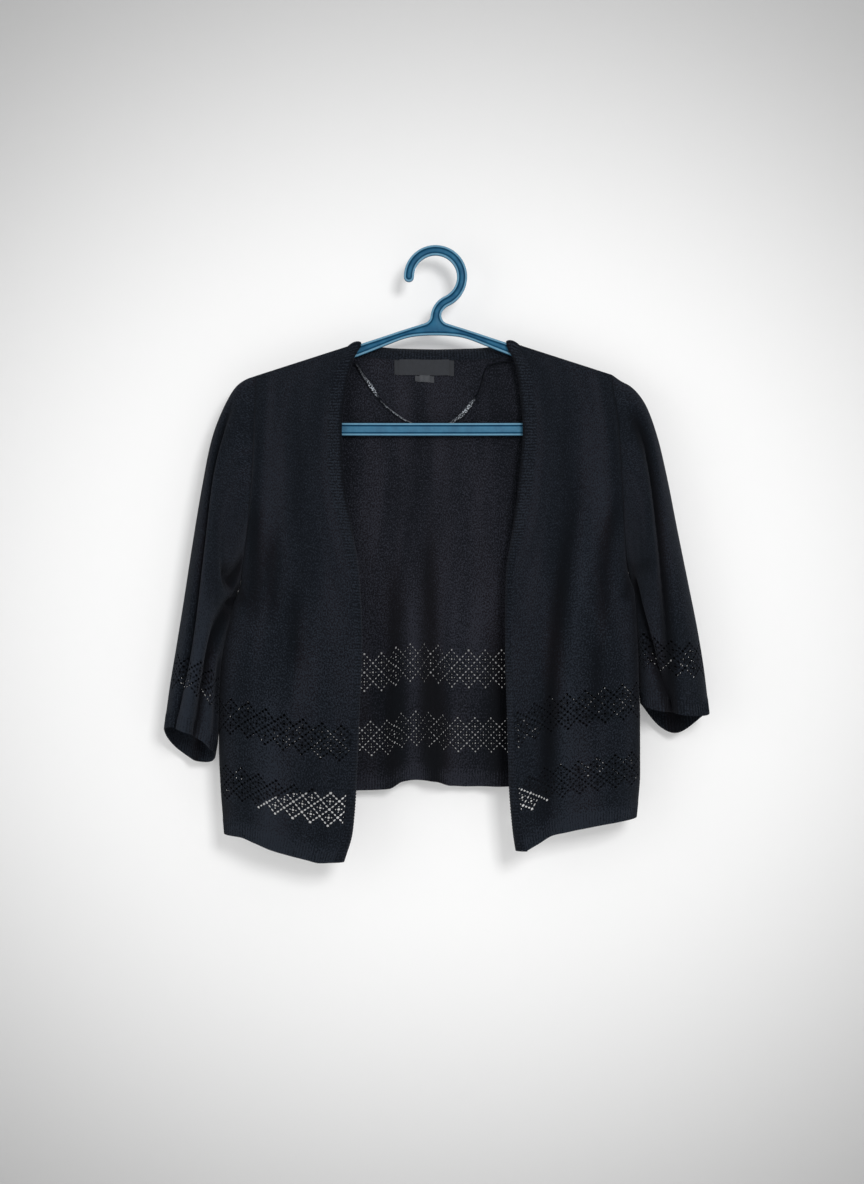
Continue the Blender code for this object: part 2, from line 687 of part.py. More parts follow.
def make_sleeve(side, material):
    """One sleeve, from its armhole loop to its open cuff."""
    loop, loop_normals = armhole_loop(side)
    count = len(loop)
    steps = np.linalg.norm(np.roll(loop, -1, axis=0) - loop, axis=1)
    start_turn = np.concatenate([[0], np.cumsum(steps)[:-1]]) / steps.sum()
    half = count // 2
    start_turn[: half + 1] *= 0.5 / start_turn[half]
    start_turn[half:] = 0.5 + (start_turn[half:] - start_turn[half]) * 0.5 / (1 - start_turn[half])
    even_turn = np.arange(count) / count
    along = (np.linspace(0, 1, SLEEVE_ROWS + 1) ** 1.15)[:, None]
    mix = ease(along / (2 * ARMHOLE_BLEND))
    turn = start_turn * (1 - mix) + even_turn * mix
    along = np.broadcast_to(along, turn.shape)
    points = tube_points(side, along, turn)
    rest = loop - tube_points(side, np.zeros(count), start_turn)
    points += rest * (1 - ease(along / ARMHOLE_BLEND))[..., None]
    outward = SIGN[side] * grid_normals(points, wrap=True)
    points -= outward * (sleeve_fold_depth(side, along, turn) * ease(along / ARMHOLE_BLEND))[..., None]
    normals = SIGN[side] * grid_normals(points, wrap=True)
    normals[0] = loop_normals
    made = wall_object("sleeve_" + side, points, points - WALL * normals, wrap=True)
    made.data.materials.append(material)


def band_route():
    """The band's seam from the right hem over the neck to the left hem.

    Returns the points, the panel's normals there, which way the band's free edge lies, and how
    far it rolls, all along the route.
    """
    points, normals, across, roll = [], [], [], []

    def add(place, normal, lean, sign, turn):
        points.append(place)
        normals.append(normal)
        across.append((sign * math.cos(lean), 0, math.sin(lean)))
        roll.append(turn)

    slope = math.atan(SHOULDER_SLOPE)
    outs = column(NECK_ROWS, "out")
    leans = column(NECK_ROWS, "lean", math.radians(1))
    rolls = column(NECK_ROWS, "roll", math.radians(1))
    back, back_normals = back_points()
    first = ROUND_COLUMNS + SHOULDER_COLUMNS
    last = first + NECK_COLUMNS
    neck_row = len(side_levels()) - 1

    def add_front(side, order):
        front, front_normals = front_points(side)
        for r in order(range(len(front))):
            place = front[r, 0]
            drop = shoulder_line(place[0]) - place[2]
            lean = slope * (1 - float(ease((drop - SHOULDER_ROLL) / BAND_LEAN_FADE)))
            add(place, front_normals[r, 0], lean, -SIGN[side], float(edge_roll(place[2])))

    add_front("right", list)
    for r in range(len(back) - 1, neck_row, -1):
        add(back[r, first], back_normals[r, first], slope, 1, 0)
    for c in range(first, last + 1):
        out = abs(back[neck_row, c, 0])
        lean = float(smooth(out, outs, leans))
        sign = 1 if back[neck_row, c, 0] < 0 else -1
        add(back[neck_row, c], back_normals[neck_row, c], lean, sign, float(smooth(out, outs, rolls)))
    for r in range(neck_row + 1, len(back)):
        add(back[r, last], back_normals[r, last], slope, -1, 0)
    add_front("left", lambda rows: list(rows)[::-1])
    return np.array(points), np.array(normals), np.array(across), np.array(roll)


def make_band(material):
    """The rib band: a strip carried along the seam, with ribs raised in its outer points."""
    points, normals, across, roll = band_route()
    steps = np.linalg.norm(np.diff(points, axis=0), axis=1)
    reach = np.concatenate([[0], np.cumsum(steps)])
    ribbed = points[:, 2] > RIBS_ABOVE_Z
    start, end = reach[ribbed][0], reach[ribbed][-1]
    ribs = int(round((end - start) / RIB_PITCH))
    fine = np.linspace(start, end, 2 * ribs + 1)
    low_right = reach[(reach < start - MM)]
    low_left = reach[(reach > end + MM)]
    stations = np.concatenate([low_right, fine, low_left])
    raised = np.zeros(len(stations))
    raised[len(low_right) + 1 : len(low_right) + 2 * ribs : 2] = RIB_HEIGHT

    def at(values):
        return np.stack([np.interp(stations, reach, values[:, k]) for k in range(3)], axis=-1)

    seam, normal = at(points), unit(at(normals))
    side = at(across)
    side = unit(side - (side * normal).sum(axis=1, keepdims=True) * normal)
    turn = np.interp(stations, reach, roll)[None, :, None]
    share = np.linspace(0, 1, 3)[:, None, None]
    out = share * np.sinc(turn * share / math.pi)
    fall = turn * share**2 / 2 * np.sinc(turn * share / (2 * math.pi)) ** 2
    outer = seam + SEAM_GAP * side + BAND_WIDTH * (out * side - fall * normal)
    facing = np.cos(turn * share) * normal + np.sin(turn * share) * side
    inner = outer - WALL * facing
    outer = outer + raised[None, :, None] * facing
    made = wall_object("neck_band", outer, inner)
    made.data.materials.append(material)


def make_tab(name, tab, top, material):
    """A small flat tab of cloth just clear of the back's inner face, hanging down from a height."""
    x = np.linspace(tab.left, tab.right, tab.columns + 1) * MM
    z = np.array([top - tab.height * MM, top])
    y = BACK_NECK_DEPTH - WALL - SEAM_GAP
    grid = np.stack(np.broadcast_arrays(x[None, :], y, z[:, None]), axis=-1)
    made = wall_object(name, grid, grid - np.array([0, LABEL_WALL, 0]))
    made.data.materials.append(material)


def make_ribbon(material):
    """The hanging ribbon as a plain round cord along its route."""
    route = np.stack([column(RIBBON_ROUTE, axis) for axis in "xyz"], axis=1)
    length = np.concatenate([[0], np.cumsum(np.linalg.norm(np.diff(route, axis=0), axis=1))])
    count = int(length[-1] / RIBBON_STEP) + 1
    at = np.linspace(0, length[-1], count)
    places = np.stack([smooth(at, length, route[:, k]) for k in range(3)], axis=1)
    curve = bpy.data.curves.new("hanging_ribbon", "CURVE")
    curve.dimensions = "3D"
    curve.bevel_depth = RIBBON_DIAMETER / 2
    curve.bevel_resolution = 2
    curve.use_fill_caps = True
    spline = curve.splines.new("POLY")
    spline.points.add(count - 1)
    for point, place in zip(spline.points, places):
        point.co = (*place, 1)
    curve.materials.append(material)
    collection.objects.link(bpy.data.objects.new("hanging_ribbon", curve))


def arc(centre, radius, start, end, count):
    """Points on an arc, angles in degrees from +X towards +Z, both ends included."""
    angles = np.radians(np.linspace(start, end, count))
    return [(centre[0] + radius * math.cos(a), centre[1] + radius * math.sin(a)) for a in angles]


def hanger_outline():
    """The hanger's outer outline from the hook's tip clockwise, and the outline of its opening.

    The hook is an arc about its centre that turns into the stem by an arc the other way, and the
    arms leave the stem through small fillets.
    """
    hook = (0, -HOOK_INNER_RADIUS)
    middle = HOOK_INNER_RADIUS + HOOK_WIDTH / 2
    turn = arc(hook, middle + STEM_TURN_RADIUS, HOOK_END_ANGLE, HOOK_END_ANGLE, 1)[0]
    half = HOOK_WIDTH / 2
    back_angle = 180 + HOOK_END_ANGLE
    stem_x = turn[0] - STEM_TURN_RADIUS
    outside = arc(hook, HOOK_INNER_RADIUS + HOOK_WIDTH, 180, HOOK_END_ANGLE, HOOK_STEPS)
    outside += arc(turn, STEM_TURN_RADIUS - half, back_angle, 180, TURN_STEPS)[1:]
    fillet = (stem_x + half + STEM_FILLET, turn[1])
    outside += arc(fillet, STEM_FILLET, 180, FILLET_END_ANGLE, FILLET_STEPS)[1:]
    right = [(p.x * MM, p.z * MM) for p in ARM_OUTSIDE]
    outside += right
    outside += [(-x, z) for x, z in reversed(right)]
    fillet = (stem_x - half - STEM_FILLET, turn[1])
    outside += arc(fillet, STEM_FILLET, 180 - FILLET_END_ANGLE, 0, FILLET_STEPS)
    outside += arc(turn, STEM_TURN_RADIUS + half, 180, back_angle, TURN_STEPS)[1:]
    outside += arc(hook, HOOK_INNER_RADIUS, HOOK_END_ANGLE, 180, HOOK_STEPS)[1:]
    outside += arc((-middle, hook[1]), half, 0, -180, TURN_STEPS)[1:-1]
    opening = [(p.x * MM, p.z * MM) for p in ARM_INSIDE]
    opening += [(-x, z) for x, z in reversed(opening[1:])]
    return outside, opening


def make_hanger(material):
    """The hanger: a flat outline with thickness, and a channel sunk inside a rim on both faces."""
    curve = bpy.data.curves.new("hanger_outline", "CURVE")
    curve.dimensions = "2D"
    curve.fill_mode = "BOTH"
    curve.extrude = HANGER_THICK / 2
    for outline in hanger_outline():
        spline = curve.splines.new("POLY")
        spline.points.add(len(outline) - 1)
        for point, (x, z) in zip(spline.points, outline):
            point.co = (x, z, 0, 1)
        spline.use_cyclic_u = True
    guide = bpy.data.objects.new("hanger_outline", curve)
    collection.objects.link(guide)
    graph = bpy.context.evaluated_depsgraph_get()
    data = bpy.data.meshes.new_from_object(guide.evaluated_get(graph))
    mesh = bmesh.new()
    mesh.from_mesh(data)
    bpy.data.objects.remove(guide, do_unlink=True)
    bmesh.ops.remove_doubles(mesh, verts=mesh.verts[:], dist=WELD)
    bmesh.ops.recalc_face_normals(mesh, faces=mesh.faces[:])
    mesh.normal_update()
    for facing in (1, -1):
        level = facing * HANGER_THICK / 2
        flat = [face for face in mesh.faces if abs(face.calc_center_median().z - level) < WELD]
        for width in (RIM_WIDTH, RECESS_SLOPE):
            bmesh.ops.inset_region(
                mesh, faces=flat, thickness=width, use_boundary=True, use_even_offset=True
            )
            mesh.normal_update()
        for vert in {vert for face in flat for vert in face.verts}:
            vert.co.z = facing * (HANGER_THICK / 2 - RECESS_DEPTH)
    for vert in mesh.verts:
        vert.co = (vert.co.x, -vert.co.z, vert.co.y)
    made = object_from(mesh, "hanger")
    made.data.materials.append(material)


clear_scene()
collection = bpy.data.collections.new("cardigan_on_hanger")
bpy.context.scene.collection.children.link(collection)
knit = make_material("fine_knit", KNIT)
rib_knit = make_material("rib_knit", RIB_KNIT)
label_cloth = make_material("label_cloth", LABEL_CLOTH)
satin = make_material("satin_ribbon", SATIN)
plastic = make_material("blue_plastic", BLUE_PLASTIC)
for wearer_side in ("right", "left"):
    make_front(wearer_side, knit)
    make_sleeve(wearer_side, knit)
make_back(knit)
make_band(rib_knit)
make_tab("neck_label", NECK_LABEL, LABEL_TOP_Z, label_cloth)
make_tab("care_tab", CARE_TAB, CARE_TAB_TOP_Z, label_cloth)
make_ribbon(satin)
make_hanger(plastic)
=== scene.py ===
"""The looks of an open lace cardigan on its blue hanger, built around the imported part.

Metres, in the part's frame: the origin is the top of the hook's inside, +X is the wearer's left and
+Y points away from the camera. Each cloth piece is a thin shell on a grid of points worked out from
the same named sizes as its solid. The lace is knitted in blocks of four stitches, and a block with
an eyelet keeps an open ring in both faces of the shell.
"""

from __future__ import annotations

import logging
import math
from dataclasses import dataclass, field
from enum import Enum, IntEnum

import bpy
import numpy as np
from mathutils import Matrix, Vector
from mathutils.geometry import tessellate_polygon


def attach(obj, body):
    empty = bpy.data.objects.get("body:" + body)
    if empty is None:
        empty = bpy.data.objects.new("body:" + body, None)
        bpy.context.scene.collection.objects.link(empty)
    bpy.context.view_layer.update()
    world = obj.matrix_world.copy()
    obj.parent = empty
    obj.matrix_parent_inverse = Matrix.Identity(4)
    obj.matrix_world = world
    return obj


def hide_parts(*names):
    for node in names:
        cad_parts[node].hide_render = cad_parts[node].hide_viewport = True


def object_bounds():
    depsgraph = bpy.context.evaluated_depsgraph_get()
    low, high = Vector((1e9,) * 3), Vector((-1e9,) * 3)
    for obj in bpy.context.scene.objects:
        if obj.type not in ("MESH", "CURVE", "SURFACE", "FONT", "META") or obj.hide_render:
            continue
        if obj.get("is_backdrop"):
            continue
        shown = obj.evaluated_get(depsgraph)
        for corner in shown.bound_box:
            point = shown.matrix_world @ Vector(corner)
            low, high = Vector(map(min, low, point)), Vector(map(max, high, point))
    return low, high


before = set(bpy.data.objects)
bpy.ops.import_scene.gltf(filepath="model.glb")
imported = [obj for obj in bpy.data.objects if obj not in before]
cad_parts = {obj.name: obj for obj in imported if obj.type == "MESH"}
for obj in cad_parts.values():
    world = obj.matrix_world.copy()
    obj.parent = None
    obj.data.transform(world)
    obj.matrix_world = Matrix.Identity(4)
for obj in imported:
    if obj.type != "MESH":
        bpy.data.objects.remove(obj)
CAD_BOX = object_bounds()

MM = 0.001
TAU = 2 * math.pi
Array = np.ndarray
Color = tuple[float, float, float]
log = logging.getLogger("cardigan")


class Side(Enum):
    """The wearer's side of a piece."""

    RIGHT = "right"
    LEFT = "left"

    @property
    def sign(self) -> int:
        """-1 on the wearer's right, which is the left of the picture, and 1 on the left."""
        return -1 if self is Side.RIGHT else 1


class Slot(Enum):
    """The record's material slots."""

    KNIT = "knit"
    RIB = "rib_knit"
    LABEL = "label_cloth"
    SATIN = "satin_ribbon"
    PLASTIC = "blue_plastic"


class Eyelet(IntEnum):
    """What a block of the lace chart has in it."""

    NONE = 0
    RISING = 1
    FALLING = 2
    CROSSING = 3
    FLOWER = 4
    PETAL = 5


def ease(t: Array | float) -> Array:
    """0 to 1 with no corner at either end: 3t^2 - 2t^3."""
    t = np.clip(t, 0, 1)
    return t * t * (3 - 2 * t)


def unit(vectors: Array) -> Array:
    """Vectors divided by their lengths."""
    return vectors / np.maximum(np.linalg.norm(vectors, axis=-1, keepdims=True), 1e-12)


def running_length(points: Array, axis: int = 0) -> Array:
    """Distance along a line of points, from 0 at its first one.

    Args:
        points: Points whose last axis is x, y and z.
        axis: The axis along which the line runs.

    Returns:
        The running sum of the steps between neighbours, with points' shape but for its last axis.
    """
    steps = np.linalg.norm(np.diff(points, axis=axis), axis=-1)
    start = np.zeros_like(np.take(steps, [0], axis=axis))
    return np.concatenate([start, np.cumsum(steps, axis=axis)], axis=axis)


def grid_normals(points: Array, wrap: bool = False) -> Array:
    """Unit normals of a grid: the cross product of its differences along columns and rows.

    Args:
        points: A grid of points, rows by columns.
        wrap: Whether the last column joins the first.

    Returns:
        One unit vector for each point.
    """
    if wrap:
        across = np.roll(points, -1, axis=1) - np.roll(points, 1, axis=1)
    else:
        across = np.gradient(points, axis=1)
    return unit(np.cross(across, np.gradient(points, axis=0)))


@dataclass(frozen=True)
class Curve:
    """A smooth line through a short table that never overshoots its points."""

    knots: tuple[float, ...]
    values: tuple[float, ...]
    knot_unit: float = 1.0
    value_unit: float = MM

    def __call__(self, at: Array | float) -> Array:
        """Monotone cubic: each knot's slope is the harmonic mean of the rises beside it.

        Args:
            at: Where to read the line.

        Returns:
            The line's height there, held level past both ends.
        """
        knots = np.array(self.knots, float) * self.knot_unit
        values = np.array(self.values, float) * self.value_unit
        rises = np.diff(values) / np.diff(knots)
        slopes = np.zeros(len(values))
        same_way = rises[:-1] * rises[1:] > 0
        mean = 2 * rises[:-1] * rises[1:] / np.where(same_way, rises[:-1] + rises[1:], 1)
        slopes[1:-1] = np.where(same_way, mean, 0)
        slopes[0], slopes[-1] = rises[0], rises[-1]
        at = np.clip(at, knots[0], knots[-1])
        k = np.clip(np.searchsorted(knots, at, side="right") - 1, 0, len(knots) - 2)
        step = knots[k + 1] - knots[k]
        t = (at - knots[k]) / step
        start = (1 + 2 * t) * (1 - t) ** 2 * values[k] + t * (1 - t) ** 2 * step * slopes[k]
        return start + t**2 * (3 - 2 * t) * values[k + 1] + t**2 * (t - 1) * step * slopes[k + 1]


# ---------------------------------------------------------------- shader graphs


class Value:
    """A number in a shader graph. Arithmetic on it adds Math nodes."""

    def __init__(self, graph: Graph, socket: bpy.types.NodeSocket) -> None:
        """Keep the graph and the output socket that the number comes from."""
        self.graph = graph
        self.socket = socket

    def math(self, operation: str, *others: Value | float) -> Value:
        """The result of one Math node on this number and others."""
        inputs = dict(enumerate((self, *others)))
        return self.graph.add("ShaderNodeMath", {"operation": operation}, inputs)

    def swapped(self, operation: str, other: Value | float) -> Value:
        """The result of one Math node with the other number first."""
        return self.graph.add("ShaderNodeMath", {"operation": operation}, {0: other, 1: self})

    def __add__(self, other: Value | float) -> Value:
        """This number plus another."""
        return self.math("ADD", other)

    def __sub__(self, other: Value | float) -> Value:
        """This number minus another."""
        return self.math("SUBTRACT", other)

    def __rsub__(self, other: float) -> Value:
        """Another number minus this one."""
        return self.swapped("SUBTRACT", other)

    def __mul__(self, other: Value | float) -> Value:
        """This number times another."""
        return self.math("MULTIPLY", other)

    def __truediv__(self, other: Value | float) -> Value:
        """This number divided by another."""
        return self.math("DIVIDE", other)

    def __rtruediv__(self, other: float) -> Value:
        """Another number divided by this one."""
        return self.swapped("DIVIDE", other)

    def __pow__(self, other: Value | float) -> Value:
        """This number to a power."""
        return self.math("POWER", other)

    __radd__ = __add__
    __rmul__ = __mul__

    def wave(self) -> Value:
        """0 to 1 and back over each whole step of this number."""
        return (self * TAU).math("COSINE") * -0.5 + 0.5

    def between(self, low: float, high: float) -> Value:
        """0 below low, 1 above high and smooth between them."""
        settings = {"interpolation_type": "SMOOTHSTEP"}
        return self.graph.add("ShaderNodeMapRange", settings, {0: self, 1: low, 2: high, 3: 0.0, 4: 1.0})


class Graph:
    """One material's nodes, ending in a Principled shader."""

    def __init__(self, name: str) -> None:
        """Start a material with its shader and output.

        Args:
            name: The material's name.
        """
        self.material = bpy.data.materials.new(name)
        self.material.use_nodes = True
        self.nodes = self.material.node_tree.nodes
        self.links = self.material.node_tree.links
        self.shader = self.nodes["Principled BSDF"]

    def put(self, socket: bpy.types.NodeSocket, value: Value | float | tuple) -> None:
        """Link a value to a socket, or set the socket's own number, colour or vector.

        Args:
            socket: The input socket.
            value: A graph value, a number, or a tuple for a colour or vector.
        """
        if isinstance(value, Value):
            self.links.new(value.socket, socket)
        elif isinstance(value, tuple) and len(value) < len(socket.default_value):
            socket.default_value = (*value, 1.0)
        else:
            socket.default_value = value

    def add(self, kind: str, settings: dict, inputs: dict, output: int | str = 0) -> Value:
        """Add a node: its settings first, then its sockets.

        Args:
            kind: The node's type.
            settings: Names and values of the node's own settings.
            inputs: Socket numbers or names, each with a value or link.
            output: Number or name of the output that is wanted.

        Returns:
            That output as a value.
        """
        node = self.nodes.new(kind)
        for name, setting in settings.items():
            setattr(node, name, setting)
        for key, value in inputs.items():
            self.put(node.inputs[key], value)
        return Value(self, node.outputs[output])

    def finish(self, **inputs: Value | float | tuple) -> bpy.types.Material:
        """Set the shader's sockets, named with _ for a space, and return the material."""
        for name, value in inputs.items():
            self.put(self.shader.inputs[name.replace("_", " ")], value)
        return self.material

    def cloth_place(self) -> tuple[Value, Value]:
        """The piece's own UV map as two numbers, in metres across and up the cloth."""
        return self.split(self.add("ShaderNodeUVMap", {"uv_map": "cloth"}, {}))[:2]

    def split(self, vector: Value) -> tuple[Value, ...]:
        """A vector's x, y and z."""
        parts = self.add("ShaderNodeSeparateXYZ", {}, {0: vector}).socket.node
        return tuple(Value(self, output) for output in parts.outputs)

    def object_place(self) -> Value:
        """Object coordinates, in metres."""
        return self.add("ShaderNodeTexCoord", {}, {}, "Object")

    def attribute(self, name: str) -> Value:
        """A number that the mesh holds for each of its points."""
        return self.add("ShaderNodeAttribute", {"attribute_name": name}, {}, "Fac")

    def vector(self, x: Value, y: Value) -> Value:
        """Two numbers as one vector."""
        return self.add("ShaderNodeCombineXYZ", {}, {0: x, 1: y})

    def noise(self, place: Value, scale: float, detail: float = 2.0, rough: float = 0.5) -> Value:
        """Smooth noise, about 0 to 1, with features a little under 1/scale across."""
        inputs = {"Vector": place, "Scale": scale, "Detail": detail, "Roughness": rough}
        return self.add("ShaderNodeTexNoise", {}, inputs, "Fac")

    def mix(self, factor: Value, low: Value | tuple, high: Value | tuple) -> Value:
        """One colour at factor 0 and another at factor 1."""
        return self.add("ShaderNodeMix", {"data_type": "RGBA"}, {0: factor, 6: low, 7: high}, 2)

    def bump(self, height: Value, distance: float) -> Value:
        """A normal that follows a height of 0 to 1, where 1 stands a distance proud."""
        return self.add("ShaderNodeBump", {}, {"Height": height, "Distance": distance}, "Normal")


@dataclass(frozen=True)
class KnitFinish:
    """Fine machine knit: columns of V-shaped stitches, a little fuzz, faint mottling."""

    name: str
    cool: Color
    warm: Color
    pale: Color
    # Colour of the painted shade in folds, by seams, round eyelets and low down
    deep: Color = (0.0012, 0.0016, 0.0026)
    wale: float = 1.65 * MM
    course: float = 1.3 * MM
    relief: float = 0.35 * MM

    def material(self) -> bpy.types.Material:
        """Stitch height: each column is a rounded ridge crossed by slanting V-shaped waves.

        Returns:
            The material, whose pattern follows the cloth's UV map.
        """
        graph = Graph(self.name)
        across, up = graph.cloth_place()
        place = graph.vector(across, up)
        arm = ((across / self.wale).math("FRACT") - 0.5).math("ABSOLUTE")
        stitch = (up / self.course + arm * 1.2).wave()
        ridge = (arm * 2.0) ** 2.0 * -1.0 + 1.0
        # The shade attribute is painted shade above 0 and painted light below 0, on ribs, hems and cuffs
        shade = graph.attribute("shade")
        yarn = graph.noise(graph.vector(across * 640.0, up * 470.0), 1.0, 1.0)
        speck = graph.noise(graph.vector(across * 1050.0, up * 800.0), 1.0, 1.0, 0.6)
        mottle = graph.noise(place, 110.0, 2.0)
        drift = graph.noise(graph.vector(across * 20.0, up * 4.0), 1.0, 2.0)
        height = ridge * 0.5 + stitch * ridge * 0.35 + yarn * 0.5 + speck * 0.5
        base = graph.mix(drift.between(0.42, 0.66), self.cool, self.warm)
        # The pale mottle gives way to painted shade and grows with painted light
        lift = yarn * 0.9 + speck * 0.9 + mottle * 0.15 + drift * 0.5 - shade * 0.2
        color = graph.mix(lift.between(1.11, 1.42), base, self.pale)
        # Painted shade: the colour goes towards deep as the shade attribute rises
        color = graph.mix(shade.between(0.1, 1.3) * 0.65, color, self.deep)
        return graph.finish(
            Base_Color=color,
            Roughness=0.9,
            Specular_IOR_Level=0.1,
            Sheen_Weight=0.04,
            Sheen_Roughness=0.45,
            Sheen_Tint=(0.75, 0.82, 1.0),
            Normal=graph.bump(height, self.relief),
        )


@dataclass(frozen=True)
class WovenFinish:
    """Woven label cloth: a close over-and-under weave, slightly shiny."""

    name: str
    dark: Color
    light: Color
    pitch: float = 0.45 * MM

    def material(self) -> bpy.types.Material:
        """Weave height: warp and weft waves, each on top where a checkerboard says so.

        Returns:
            The material, whose weave follows the cloth's UV map.
        """
        graph = Graph(self.name)
        across, up = graph.cloth_place()
        warp, weft = (across / self.pitch).wave(), (up / self.pitch * 1.3).wave()
        weave = warp * weft + (1.0 - warp) * (1.0 - weft)
        wear = graph.noise(graph.vector(across, up), 180.0, 3.0)
        # The shade attribute subtracts painted shade, which the folded ends carry
        tone = (weave * 0.45 + wear * 0.6).between(0.15, 1.0) - graph.attribute("shade")
        color = graph.mix(tone.math("MAXIMUM", 0.0), self.dark, self.light)
        return graph.finish(
            Base_Color=color,
            Roughness=0.6,
            Specular_IOR_Level=0.35,
            Sheen_Weight=0.1,
            Normal=graph.bump(weave, 0.12 * MM),
        )


@dataclass(frozen=True)
class SatinFinish:
    """Satin tape: fine cross ribs, with painted glints along it where it would face the light."""

    name: str
    dark: Color
    light: Color
    rib: float = 0.9 * MM

    def material(self) -> bpy.types.Material:
        """Rib height: one wave for each rib along the tape, broken up by noise.

        Returns:
            The material, whose ribs follow the tape's UV map.
        """
        graph = Graph(self.name)
        across, along = graph.cloth_place()
        ribs = (along / self.rib).wave()
        rub = graph.noise(graph.vector(across * 2.0, along), 420.0, 3.0, 0.65)
        # For the tape, the shade attribute holds its painted glints
        glint = graph.attribute("shade")
        spark = graph.noise(graph.vector(across, along), 620.0, 1.0)
        # Painted highlight: sparks of the light colour where the glint is high
        color = graph.mix((ribs * 0.1 + spark * 1.2).between(0.61, 0.78) * glint, self.dark, self.light)
        return graph.finish(
            Base_Color=color,
            Roughness=rub * 0.25 + 0.22,
            Specular_IOR_Level=0.08,
            Normal=graph.bump(ribs * 0.5 + rub * 0.6, 0.15 * MM),
        )


@dataclass(frozen=True)
class PlasticFinish:
    """Moulded polypropylene: soft gloss, paler along the rims with painted highlight and rubbed wear, darker in
    the groove with painted shade.
    """

    name: str
    body: Color
    deep: Color
    rim: Color
    groove: Color = (0.002, 0.030, 0.072)

    def material(self) -> bpy.types.Material:
        """Colour goes from the channel's to the rim's by the mesh's rim attribute, with scuffs: painted
        highlight and wear on the rims, painted shade in the groove.

        Returns:
            The material, on Object coordinates.
        """
        graph = Graph(self.name)
        place = graph.object_place()
        edge = graph.attribute("rim")
        cloud = graph.noise(place, 75.0, 3.0, 0.6)
        scuff = graph.noise(place, 420.0, 4.0, 0.7)
        body = graph.mix(cloud.between(0.3, 0.7), self.deep, self.body)
        # Painted shade in the groove where the rim attribute is below 0
        body = graph.mix((edge * -1.0).between(0.0, 1.2), body, self.groove)
        # Painted highlight and rubbed wear where the rim attribute is above 0
        wear_and_highlight = edge.between(0.0, 1.0) * (scuff * 0.7 + 0.45)
        return graph.finish(
            Base_Color=graph.mix(wear_and_highlight.math("MINIMUM", 1.0), body, self.rim),
            Roughness=scuff * 0.2 + 0.36,
            Specular_IOR_Level=0.12,
            Normal=graph.bump(scuff * 0.6 + cloud * 0.4, 0.09 * MM),
        )


Finish = KnitFinish | WovenFinish | SatinFinish | PlasticFinish
KNIT = KnitFinish(
    "fine_knit", (0.0013, 0.0025, 0.0045), (0.0038, 0.0029, 0.0045), (0.0122, 0.0158, 0.0226)
)
KNIT_BACK = KnitFinish(
    "fine_knit_back", (0.0020, 0.0028, 0.0046), (0.0040, 0.0034, 0.0048), (0.0184, 0.0199, 0.0276)
)
RIB = KnitFinish(
    "rib_knit", (0.0015, 0.0025, 0.0045), (0.0026, 0.0029, 0.0042), (0.0125, 0.0162, 0.0232), relief=0.3 * MM
)
LABEL = WovenFinish("label_cloth", (0.0076, 0.0091, 0.0125), (0.0170, 0.0200, 0.0262))
CARE = WovenFinish("care_cloth", (0.020, 0.022, 0.027), (0.062, 0.066, 0.074))
# Its light colour is the colour of the painted glints
SATIN = SatinFinish("satin_ribbon", (0.002, 0.003, 0.005), (0.38, 0.41, 0.45))
# Its rim colour stands for painted highlight and rubbed wear
PLASTIC = PlasticFinish(
    "blue_plastic", (0.014, 0.100, 0.182), (0.006, 0.060, 0.126), (0.120, 0.250, 0.345)
)


# ---------------------------------------------------------------- meshes


def make_mesh(name: str, points: Array, faces: list[Array]) -> bpy.types.Mesh:
    """A mesh from points and arrays of faces, turned so that its faces point outwards.

    Args:
        name: The mesh's name.
        points: All its points.
        faces: Arrays of point numbers, each with its own number of corners a face.

    Returns:
        The mesh, shaded smooth but for edges sharper than 50 degrees.
    """
    first = points[0]
    volume = 0.0
    for group in faces:
        for k in range(1, group.shape[1] - 1):
            a, b, c = (points[group[:, i]] - first for i in (0, k, k + 1))
            volume += float((a * np.cross(b, c)).sum())
    if volume < 0:
        faces = [group[:, ::-1] for group in faces]
    mesh = bpy.data.meshes.new(name)
    corners = np.concatenate([group.ravel() for group in faces]).astype(np.int32)
    totals = np.concatenate([np.full(len(group), group.shape[1]) for group in faces])
    mesh.vertices.add(len(points))
    mesh.vertices.foreach_set("co", points.astype(np.float32).ravel())
    mesh.loops.add(len(corners))
    mesh.loops.foreach_set("vertex_index", corners)
    mesh.polygons.add(len(totals))
    mesh.polygons.foreach_set("loop_start", (np.cumsum(totals) - totals).astype(np.int32))
    mesh.update(calc_edges=True)
    mesh.validate()
    mesh.shade_smooth()
    mesh.set_sharp_from_angle(angle=math.radians(50))
    return mesh


def set_cloth_map(mesh: bpy.types.Mesh, across: Array, up: Array) -> None:
    """Give a mesh its UV map in metres, one pair for each corner of its faces.

    Args:
        mesh: The mesh.
        across: Distance across the cloth at each corner.
        up: Distance up the cloth at each corner.
    """
    layer = mesh.uv_layers.new(name="cloth")
    layer.uv.foreach_set("vector", np.stack([across, up], axis=1).astype(np.float32).ravel())


def corner_points(mesh: bpy.types.Mesh) -> Array:
    """The point number at each corner of a mesh's faces."""
    numbers = np.zeros(len(mesh.loops), np.int32)
    mesh.loops.foreach_get("vertex_index", numbers)
    return numbers


def set_attribute(mesh: bpy.types.Mesh, name: str, values: Array) -> None:
    """Keep one number for each of a mesh's points."""
    mesh.attributes.new(name, "FLOAT", "POINT").data.foreach_set("value", values.astype(np.float32))


def add_piece(mesh: bpy.types.Mesh, finish: Finish, node: str) -> bpy.types.Object:
    """Put a finished mesh in the scene, on the part's one body, in place of its solid.

    Args:
        mesh: The mesh, whose name becomes the piece's.
        finish: Its finish.
        node: The solid that it stands for.

    Returns:
        The scene object.
    """
    piece = bpy.data.objects.new(mesh.name, mesh)
    bpy.context.scene.collection.objects.link(piece)
    mesh.materials.append(MATERIALS[finish.name])
    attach(piece, "root")
    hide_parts(node)
    log.info("%s: %d faces", mesh.name, len(mesh.polygons))
    return piece


